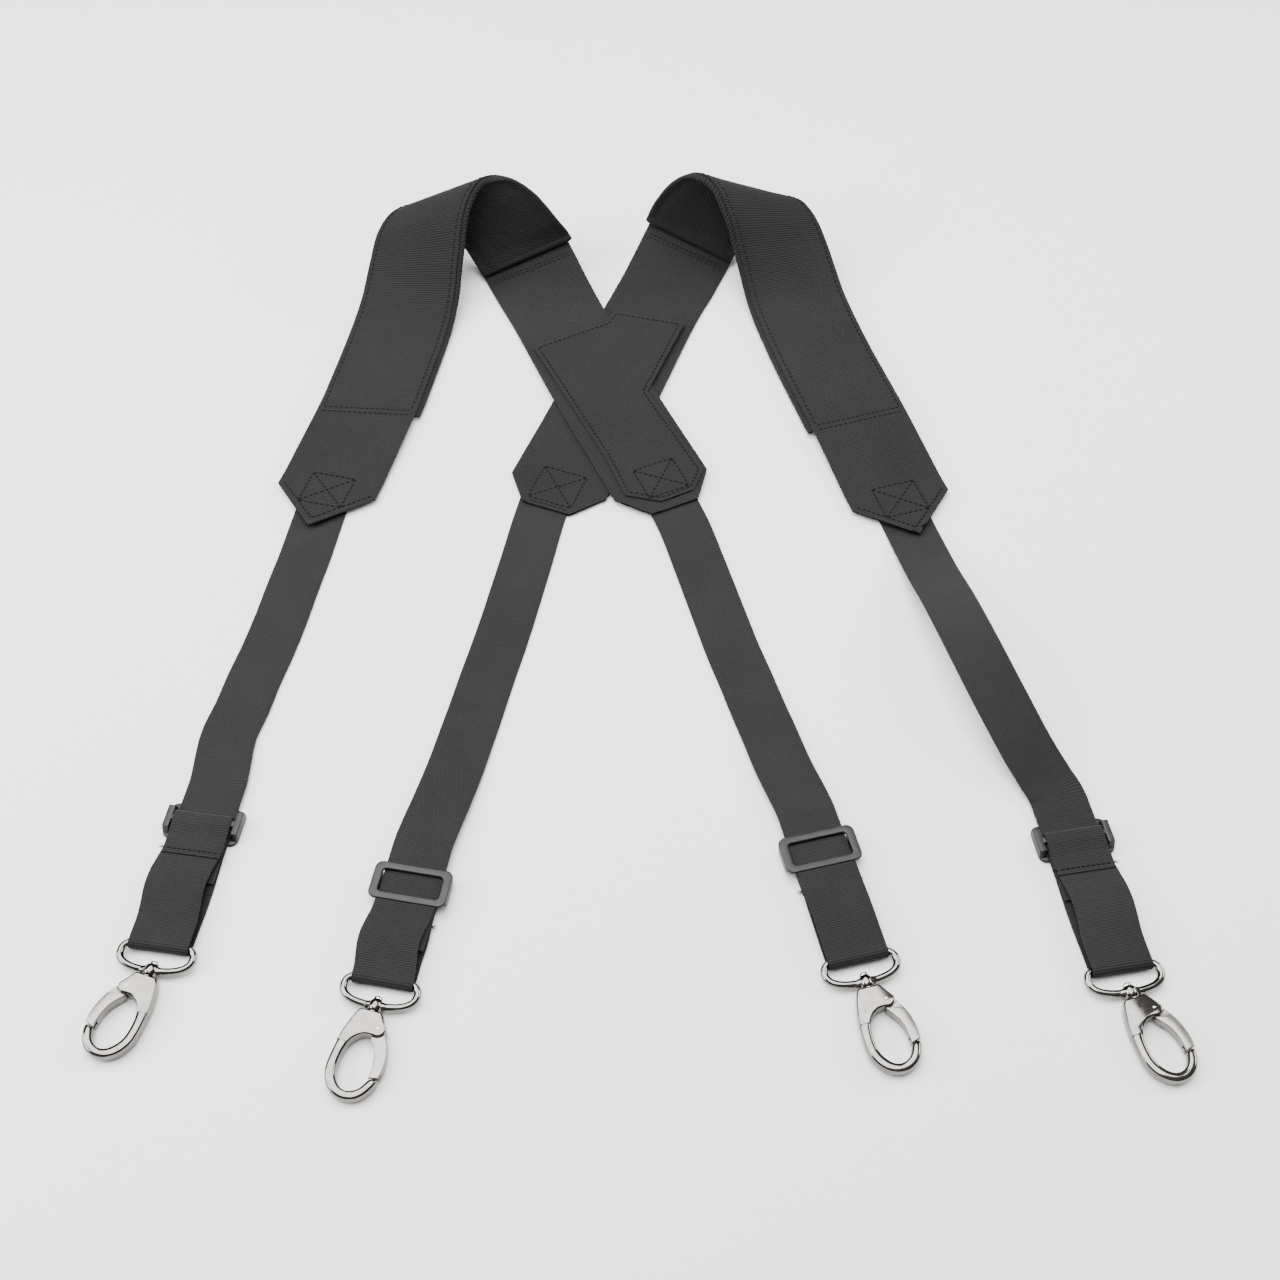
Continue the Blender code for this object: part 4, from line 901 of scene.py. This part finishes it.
def leg_run(leg):
    """Run of the webbing from its tab to the slider and on into the end loop."""
    slider = Vector((*leg["slider"], 0.0)) - LAYOUT_CENTRE
    heading = (Vector((*leg["ring"], 0.0)) - LAYOUT_CENTRE - slider).normalized()
    low = 0.85 * MM
    level = MIDDLE_PLANE - low - LEG_THICK if leg["flipped"] else MIDDLE_PLANE + low
    points = [Vector(point) - LAYOUT_CENTRE for point in leg["route"]]
    straight = [
        slider + heading * reach + Vector((0, 0, level)) for reach in (-STRAIGHT_RUN, 0.0, TONGUE_REACH)
    ]
    bend_end = len(points)
    points += straight
    stations = []
    for at in even_steps(0, bend_end, bend_end * STATIONS_PER_POINT):
        if at < bend_end:
            middle = spline_point(points, at)
            along = (spline_point(points, at + 0.01) - spline_point(points, max(at - 0.01, 0))).normalized()
        else:
            middle, along = straight[0], heading
        sideways = Vector((0, 0, 1)).cross(along).normalized()
        stations.append((middle, sideways, along.cross(sideways)))
    flat = Vector((0, 0, 1)).cross(heading).normalized()
    for share in (0.25, 0.5, 0.75, 1.0):
        stations.append((straight[0].lerp(straight[2], share), flat, heading.cross(flat)))
    return Run(stations)


def build_leg_webbing(name, run):
    section = band_section(LEG_HALF, 0.0, LEG_THICK, columns=10, edge_bulge=0.10 * MM)
    stations = even_steps(0.0, run.length, round(run.length / STRAP_STEP))
    calm = run.length - STRAIGHT_RUN - TONGUE_REACH
    wave = soft_wave(len(name), 38 * MM, 0.25 * MM)

    def ripple(along, across):
        ease = max(0.0, min(1.0, (calm - along) / WAVE_EASE, (along - WAVY_FROM) / WAVE_EASE))
        return max(wave(along, across), 0.0) * ease

    bm = band(run, stations, section, ripple)
    finish_piece(f"{name}_webbing", bm, leg_webbing, "harness", [f"{name}_leg_webbing"])


def loop_run(frames, drift, flipped):
    """Run of the doubled webbing, in the leg end's own frame.

    The layer that faces up bows away from the floor and drifts sideways: the outer one, or on a flipped leg
    the return layer.
    """
    run = frames["run"]
    outer_drift, outer_bow = (-0.3 * drift, 0.0) if flipped else (drift, LOOP_BOW)
    return_drift, return_bow = (drift, LOOP_BOW) if flipped else (-0.3 * drift, 0.0)

    def arc(centre, radius, start, end, count):
        return [
            Vector((centre[0] + radius * math.cos(math.radians(angle)), 0.0,
                    centre[1] + radius * math.sin(math.radians(angle))))
            for angle in even_steps(start, end, count)
        ]

    bend = (RETURN_MID - TAIL_MID) / 2
    bar_edge = CENTRE_BAR / 2
    line = [Vector((SLIDER_LENGTH / 2 + CLEARANCE, 0.0, WRAP_RADIUS))]
    for share in even_steps(0, 1, 12):
        bow = math.sin(math.pi * share) ** 2
        start = SLIDER_LENGTH / 2 + 2 * MM
        line.append(Vector((start + (run - start) * share, outer_drift * bow, WRAP_RADIUS + outer_bow * bow)))
    line += arc((run, 0.0), WRAP_RADIUS, 75, -90, 11)
    start = Vector((run - 12 * MM, 0.0, -WRAP_RADIUS + CLEARANCE))
    end = Vector((14 * MM, 0.0, RETURN_MID - 0.2 * MM))
    for share in even_steps(0, 1, 12):
        bow = math.sin(math.pi * share) ** 2
        line.append(start.lerp(end, share) + Vector((0.0, return_drift * bow, -return_bow * bow)))
    line += [Vector((8.4 * MM, 0.0, RETURN_MID)), Vector((0.0, 0.0, RETURN_MID))]
    line += arc((-bar_edge, (RETURN_MID + TAIL_MID) / 2), bend, 90, 270, 8)
    line += [
        Vector((bar_edge + 0.75 * MM, 0.0, TAIL_MID)),
        Vector((bar_edge + 5 * MM, 0.0, TAIL_MID + 1.0 * MM)),
        Vector((bar_edge + 10 * MM, 0.0, TAIL_MID + 1.8 * MM)),
        Vector((TAIL_REACH, 0.0, TAIL_MID + 1.6 * MM)),
    ]
    stations = []
    for index, point in enumerate(line):
        before = line[max(index - 1, 0)]
        after = line[min(index + 1, len(line) - 1)]
        along = (after - before).normalized()
        normal = Vector((-along.z, 0.0, along.x)).normalized()
        stations.append((point, Vector((0, 1, 0)), normal))
    return Run(stations)


def add_tuft(bm, run, along, across, lift, outward):
    """A few loose thread ends at an edge."""
    normal = run.frame(along)[2] * outward
    for turn, reach in ((-38, 2.6), (-12, 3.8), (14, 3.1), (41, 2.2)):
        away = math.copysign(reach * MM * math.cos(math.radians(turn)), across)
        ahead = reach * MM * math.sin(math.radians(turn))
        add_stitch(
            bm, run.point(along, across - away * 0.3, lift), run.point(along + ahead, across + away, lift),
            normal, LOOSE_THREAD_RADIUS,
        )


def build_end_loop(name, frames, drift, flipped):
    """Doubled webbing from the slider round the ring, with its sewn end."""
    run = loop_run(frames, drift, flipped)
    section = band_section(LEG_HALF, -LEG_THICK / 2, LEG_THICK / 2, columns=8, edge_bulge=0.08 * MM)
    stations = sorted(set(run.distances + even_steps(0, run.length, round(run.length / LOOP_STEP))))
    bm = band(run, stations, section)
    bmesh.ops.transform(bm, matrix=frames["adjuster"], verts=bm.verts)
    finish_piece(f"{name}_loop", bm, leg_webbing, f"{name}_adjuster", [f"{name}_end_loop"])
    bm = bmesh.new()
    edge = LEG_HALF - 2.5 * MM
    sewn = run.length - 3.2 * MM
    lift = -LEG_THICK / 2 - 0.1 * MM
    sew(bm, run, [(sewn, -edge), (sewn, edge)], lift, -1.0, 3.2 * MM, 2.5 * MM)
    for side in (-1, 1):
        add_tuft(bm, run, sewn, side * LEG_HALF, lift, -1.0)
    bmesh.ops.transform(bm, matrix=frames["adjuster"], verts=bm.verts)
    finish_piece(f"{name}_loop_stitches", bm, sewing_thread, f"{name}_adjuster")


# ---------------------------------------------------------------- hardware
def rounded_rectangle(half_x, half_y, radius, steps=5):
    """Corner by corner, the same number of points for any size."""
    points = []
    for corner_x, corner_y, start in ((1, 1, 0), (-1, 1, 90), (-1, -1, 180), (1, -1, 270)):
        for angle in even_steps(start, start + 90, steps):
            points.append((
                corner_x * (half_x - radius) + radius * math.cos(math.radians(angle)),
                corner_y * (half_y - radius) + radius * math.sin(math.radians(angle)),
            ))
    return points


def plate(bm, outline, low, high, edge=0.0, segments=3, inner=None):
    """A flat outline, optionally with a window, given thickness and rounded rims."""
    old = set(bm.verts)
    outer_verts = [bm.verts.new((x, y, low)) for x, y in outline]
    if inner:
        inner_verts = [bm.verts.new((x, y, low)) for x, y in inner]
        loops = []
        for verts in (outer_verts, inner_verts):
            loops += [bm.edges.new((here, after)) for here, after in zip(verts, verts[1:] + verts[:1])]
        faces = bmesh.ops.bridge_loops(bm, edges=loops)["faces"]
    else:
        faces = [bm.faces.new(outer_verts)]
    made = bmesh.ops.extrude_face_region(bm, geom=faces)
    raised = [item for item in made["geom"] if isinstance(item, bmesh.types.BMVert)]
    bmesh.ops.translate(bm, vec=(0, 0, high - low), verts=raised)
    if edge:
        fresh = {vert for vert in bm.verts if vert not in old}
        rims = [
            item for item in bm.edges
            if item.verts[0] in fresh and abs(item.verts[0].co.z - item.verts[1].co.z) < 1e-6
            and item.calc_face_angle(0.0) > 0.8
        ]
        bmesh.ops.bevel(
            bm, geom=rims, offset=edge, segments=segments, affect="EDGES", profile=0.5, material=-1
        )


def join_into(bm, other):
    """Add one bmesh to another."""
    mesh = bpy.data.meshes.new("joined")
    other.to_mesh(mesh)
    other.free()
    bm.from_mesh(mesh)
    bpy.data.meshes.remove(mesh)


def build_slider(name, frames):
    """Moulded three-bar slider: a rounded frame, arched rails and a low centre bar."""
    half_length = SLIDER_LENGTH / 2
    window = half_length - END_BAR
    top = MIDDLE_PLANE
    bm = bmesh.new()
    plate(
        bm, rounded_rectangle(half_length, SLIDER_HALF_WIDTH, 5 * MM, 7), END_BAR_LOW, top, 1.0 * MM, 4,
        rounded_rectangle(window, RAIL_INSIDE - 0.6 * MM, 2.4 * MM, 7),
    )
    for side in (-1, 1):
        rail = bmesh.new()
        arch = [
            (-half_length + 2.5 * MM, top - 1.0 * MM), (-half_length + 3.2 * MM, END_BAR_LOW - 0.2 * MM),
            (-window, CENTRE_BAR_LOW), (window, CENTRE_BAR_LOW),
            (half_length - 3.2 * MM, END_BAR_LOW - 0.2 * MM), (half_length - 2.5 * MM, top - 1.0 * MM),
        ]
        width = SLIDER_HALF_WIDTH - RAIL_INSIDE - 0.2 * MM
        plate(rail, arch, -width / 2, width / 2, 0.9 * MM, 4)
        place = Matrix.Translation((0, side * (SLIDER_HALF_WIDTH + RAIL_INSIDE) / 2, 0))
        bmesh.ops.transform(rail, matrix=place @ Matrix.Rotation(math.pi / 2, 4, "X"), verts=rail.verts)
        join_into(bm, rail)
    plate(
        bm, rounded_rectangle(CENTRE_BAR / 2, RAIL_INSIDE + 1 * MM, 0.6 * MM, 2), CENTRE_BAR_LOW,
        CENTRE_BAR_LOW + CENTRE_BAR_THICK, 0.5 * MM, 2,
    )
    bmesh.ops.transform(bm, matrix=frames["adjuster"], verts=bm.verts)
    finish_piece(f"{name}_frame", bm, slider_plastic, f"{name}_adjuster", [f"{name}_slider"])


def spun(profile, steps, matrix):
    """A turned shape from an (along, radius) profile about X."""
    bm = bmesh.new()
    verts = [bm.verts.new((along, radius, 0.0)) for along, radius in profile]
    edges = [bm.edges.new(pair) for pair in zip(verts, verts[1:])]
    bmesh.ops.spin(
        bm, geom=verts + edges, cent=(0, 0, 0), axis=(1, 0, 0), angle=2 * math.pi, steps=steps, use_merge=True
    )
    bmesh.ops.remove_doubles(bm, verts=bm.verts, dist=1e-6)
    bmesh.ops.recalc_face_normals(bm, faces=bm.faces)
    bmesh.ops.transform(bm, matrix=matrix, verts=bm.verts)
    return bm


def build_ring(name, frames):
    """Bent-wire D-ring that swells into a domed boss in the middle of its bow."""
    corner = [
        Vector((
            RING_CORNER - RING_CORNER * math.cos(turn),
            RING_HALF - RING_CORNER + RING_CORNER * math.sin(turn),
        ))
        for turn in even_steps(0, math.pi / 2, 8)
    ]
    bow = [
        Vector((
            RING_CORNER + (RING_DEPTH - RING_CORNER) * math.sin(turn) ** BOW_SQUARENESS,
            RING_HALF * max(math.cos(turn), 0.0) ** BOW_SQUARENESS,
        ))
        for turn in even_steps(0, math.pi / 2, 20)
    ]
    half = [Vector((0.0, 0.0)), Vector((0.0, 9 * MM))] + corner + bow[1:]
    path = half + [Vector((point.x, -point.y)) for point in reversed(half[1:-1])]
    sides = 16

    def place(row, column):
        before = path[row - 1]
        after = path[(row + 1) % len(path)]
        along = (after - before).normalized()
        out = Vector((along.y, -along.x, 0.0))
        turn = 2 * math.pi * column / sides
        spoke = out * math.cos(turn) + Vector((0, 0, math.sin(turn)))
        return Vector((*path[row], 0.0)) + spoke * RING_WIRE / 2

    bm = loft(len(path), sides, place, closed_rows=True)
    half_boss = BOSS_LENGTH / 2
    bow_middle = Matrix.Translation((RING_DEPTH, 0, 0))
    profile = [
        (-half_boss, 1.7 * MM), (-half_boss, 2.6 * MM), (-half_boss + 0.5 * MM, 3.4 * MM),
        (-half_boss + 1.6 * MM, 4.1 * MM), (-0.5 * MM, BOSS_RADIUS), (1.2 * MM, BOSS_RADIUS),
        (half_boss - 0.9 * MM, 4.2 * MM), (half_boss - 0.2 * MM, 3.8 * MM), (half_boss, 3.2 * MM),
        (half_boss, 1.7 * MM), (-half_boss, 1.7 * MM),
    ]
    join_into(bm, spun(profile, 32, bow_middle @ Matrix.Rotation(frames["tilt"], 4, "Z")))
    bead_end = RING_WIRE * 0.3
    swell = [(-BEAD_REACH, 0.0), (-BEAD_REACH, bead_end)]
    swell += [
        (share * BEAD_REACH, bead_end + (BEAD_RADIUS - bead_end) * (1 - abs(share) ** 2.2))
        for share in even_steps(-0.92, 0.92, 14)
    ]
    swell += [(BEAD_REACH, bead_end), (BEAD_REACH, 0.0)]
    join_into(bm, spun(swell, 24, bow_middle @ Matrix.Rotation(math.pi / 2, 4, "Z")))
    bmesh.ops.transform(bm, matrix=frames["ring"], verts=bm.verts)
    finish_piece(f"{name}_d_ring", bm, dark_nickel, f"{name}_ring_body", [f"{name}_ring"])


def build_rivet(name, frames):
    """Swivel rivet with a bright domed head inside the D."""
    head = -BOSS_LENGTH / 2 - CLEARANCE
    head_rim = 0.5 * MM
    dome = 1.8 * MM
    head_radius = 2.9 * MM
    shank_radius = 1.5 * MM
    shank_end = 8.0 * MM
    profile = [(head - 2.3 * MM, 0.0)]
    profile += [
        (head - head_rim - dome * math.cos(turn), head_radius * math.sin(turn))
        for turn in even_steps(0, math.pi / 2, 6)[1:]
    ]
    profile += [(head, head_radius), (head, shank_radius), (shank_end, shank_radius), (shank_end, 0.0)]
    bm = spun(profile, 24, frames["hook"])
    finish_piece(f"{name}_rivet", bm, bright_nickel, f"{name}_hook_body", [f"{name}_swivel_rivet"])


def pin_arc(radius, start, end, count):
    """Points round the gate's pin, angles in degrees."""
    return [
        (GATE_PIN_AT.x + radius * math.cos(angle), GATE_PIN_AT.y + radius * math.sin(angle))
        for angle in map(math.radians, even_steps(start, end, count))
    ]


def pin_point(radius, angle):
    """One point off the gate's pin, its angle in degrees."""
    return pin_arc(radius, angle, angle, 1)[0]


def build_hook(name, frames):
    """Cast hook: a flat shoulder with a rounded lip and a round-sectioned bar that ends in the nose."""
    stations = [(Vector(outer), Vector(inner), thick) for outer, inner, thick in HOOK_BAR]
    fine = len(stations) * 3
    outers = [station[0] for station in stations]
    inners = [station[1] for station in stations]
    thicks = [Vector((station[2], 0.0)) for station in stations]
    sides = 20

    def place(row, column):
        share = (len(stations) - 1) * row / fine
        outer = spline_point(outers, share)
        inner = spline_point(inners, share)
        thick = spline_point(thicks, share).x
        blunt = 0.50 + 0.28 * (1 - row / fine)
        turn = 2 * math.pi * column / sides
        cosine, sine = math.cos(turn), math.sin(turn)
        wide = math.copysign(abs(cosine) ** blunt, cosine)
        tall = math.copysign(abs(sine) ** blunt, sine)
        at = (outer + inner) / 2 + (outer - inner) / 2 * wide
        return Vector((at.x, at.y, thick * tall)) * MM

    bm = loft(fine + 1, sides, place)
    lip = pin_arc(GATE_LIP_RADIUS, -18, 92, 12)
    shoulder = bmesh.new()
    plate(
        shoulder, [(x * MM, y * MM) for x, y in HOOK_SHOULDER] + lip, -HOOK_HALF_THICK, HOOK_HALF_THICK,
        1.3 * MM, 4,
    )
    join_into(bm, shoulder)
    collar_start = 4.2 * MM
    collar = [
        (collar_start, 0.0), (collar_start, 3.6 * MM), (4.6 * MM, 4.1 * MM), (7.0 * MM, 4.15 * MM),
        (7.4 * MM, 0.0),
    ]
    join_into(bm, spun(collar, 28, Matrix.Identity(4)))
    back, front, low, high = 41.6 * MM, 45.6 * MM, 14.2 * MM, 16.6 * MM
    tongue = bmesh.new()
    corners = [(back, low), (front, low), (front, high), (back, high)]
    plate(tongue, corners, -1.2 * MM, 1.2 * MM, 0.4 * MM, 2)
    join_into(bm, tongue)
    bmesh.ops.transform(bm, matrix=frames["hook"], verts=bm.verts)
    finish_piece(f"{name}_hook_casting", bm, dark_nickel, f"{name}_hook_body", [f"{name}_hook"])


def build_gate(name, frames):
    """Spring gate: a flat brushed bar whose end is notched over the nose."""
    lip = pin_arc(GATE_LIP_RADIUS + GATE_GAP, -22, 68, 8)
    outer = [(x * MM, y * MM) for x, y in GATE_OUTER]
    inner = [(x * MM, y * MM) for x, y in GATE_INNER]
    bm = bmesh.new()
    half_notch = 1.5 * MM
    for low, high in ((-GATE_HALF_THICK, -half_notch), (half_notch, GATE_HALF_THICK)):
        plate(bm, lip + outer[1:] + inner, low, high, 0.55 * MM, 3)
    short_outer = outer[1:-1] + [(outer[-1][0] - NOTCH_SHORT, outer[-1][1])]
    short_inner = [(inner[0][0] - NOTCH_SHORT - NOTCH_SLOPE, inner[0][1])] + inner[2:]
    overlap = 0.6 * MM
    plate(bm, lip + short_outer + short_inner, -half_notch - overlap, half_notch + overlap)
    root = bmesh.new()
    plate(root, pin_arc(4.4 * MM, 0, 345, 23), -1.5 * MM, 1.5 * MM)
    join_into(bm, root)
    neck = bmesh.new()
    neck_end = [pin_point(6.7 * MM, 0), pin_point(7.7 * MM, 28), pin_point(6.7 * MM, 55)]
    plate(neck, pin_arc(1.5 * MM, 110, 290, 4) + neck_end, -1.45 * MM, 1.45 * MM)
    join_into(bm, neck)
    bmesh.ops.transform(bm, matrix=frames["hook"], verts=bm.verts)
    finish_piece(f"{name}_spring_gate", bm, brushed_nickel, f"{name}_gate_body", [f"{name}_gate"])
    pin_half = 4.35 * MM
    profile = [
        (-pin_half, 0.0), (-pin_half, 0.6 * MM), (-4.1 * MM, 1.0 * MM), (4.1 * MM, 1.0 * MM),
        (pin_half, 0.6 * MM), (pin_half, 0.0),
    ]
    through = Matrix.Translation((*GATE_PIN_AT, 0.0)) @ Matrix.Rotation(math.pi / 2, 4, "Y")
    pin = spun(profile, 16, frames["hook"] @ through)
    finish_piece(f"{name}_pin", pin, bright_nickel, f"{name}_hook_body", [f"{name}_gate_pin"])
    set_finish(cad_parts[f"{name}_gate_spring"], bright_nickel)


def set_finish(piece, finish):
    """Give a CAD piece that stays in sight its better material."""
    piece.data.materials.clear()
    piece.data.materials.append(finish)


def build_leg(name, leg):
    frames = leg_frames(leg)
    build_leg_webbing(name, leg_run(leg))
    build_end_loop(name, frames, leg["loop_drift"], leg["flipped"])
    build_slider(name, frames)
    build_ring(name, frames)
    build_rivet(name, frames)
    build_hook(name, frames)
    build_gate(name, frames)


# ---------------------------------------------------------------- build
for side, rungs, inner in (("left", LEFT_STRAP_RUNGS, 1), ("right", RIGHT_STRAP_RUNGS, -1)):
    run = shoulder_run(rungs)
    build_shoulder_strap(side, run)
    first, last = build_pad(side, run, inner)
    build_front_fold(side, run)
    sew_shoulder(side, run, first, last)
build_patch()
for name, leg in LEGS.items():
    build_leg(name, leg)

# ---------------------------------------------------------------- floor and light
bm = bmesh.new()
bmesh.ops.create_grid(bm, x_segments=2, y_segments=2, size=6.0)
floor_mesh = bpy.data.meshes.new("floor")
bm.to_mesh(floor_mesh)
bm.free()
floor = bpy.data.objects.new("floor", floor_mesh)
bpy.context.collection.objects.link(floor)
floor.location.z = -0.0003
floor_finish = new_material("floor", Base_Color=(0.90, 0.90, 0.90, 1.0), Roughness=0.7)[0]
floor_mesh.materials.append(floor_finish)

world = bpy.data.worlds.new("studio")
world.use_nodes = True
sky = world.node_tree
heading = sky.nodes.new("ShaderNodeSeparateXYZ")
sky.links.new(sky.nodes.new("ShaderNodeTexCoord").outputs["Generated"], heading.inputs[0])
above = spread(sky, heading.outputs["Z"], 0.22, 0.72, 0.03, 5.6)
horizon = spread(sky, heading.outputs["Z"], 0.06, 0.18, 1.6, 0.0)
sky.links.new(maths(sky, "ADD", above, horizon), sky.nodes["Background"].inputs["Strength"])
bpy.context.scene.world = world


def add_softbox(name, location, target, size, power, colour=(1.0, 1.0, 1.0)):
    light = bpy.data.lights.new(name, "AREA")
    light.shape = "RECTANGLE"
    light.size, light.size_y = size
    light.energy = power
    light.color = colour
    lamp = bpy.data.objects.new(name, light)
    bpy.context.collection.objects.link(lamp)
    lamp.location = location
    lamp.rotation_euler = (Vector(target) - Vector(location)).to_track_quat("-Z", "Y").to_euler()


add_softbox("overhead", (-0.3, 0.3, 1.9), (0.0, 0.0, 0.0), (2.2, 2.2), 135.0)
add_softbox("left_side", (-1.8, -0.2, 1.0), (0.0, 0.0, 0.0), (1.2, 0.8), 40.0)
add_softbox("right_side", (1.7, 0.5, 0.9), (0.0, 0.0, 0.0), (1.0, 0.6), 30.0, (1.0, 0.95, 0.88))
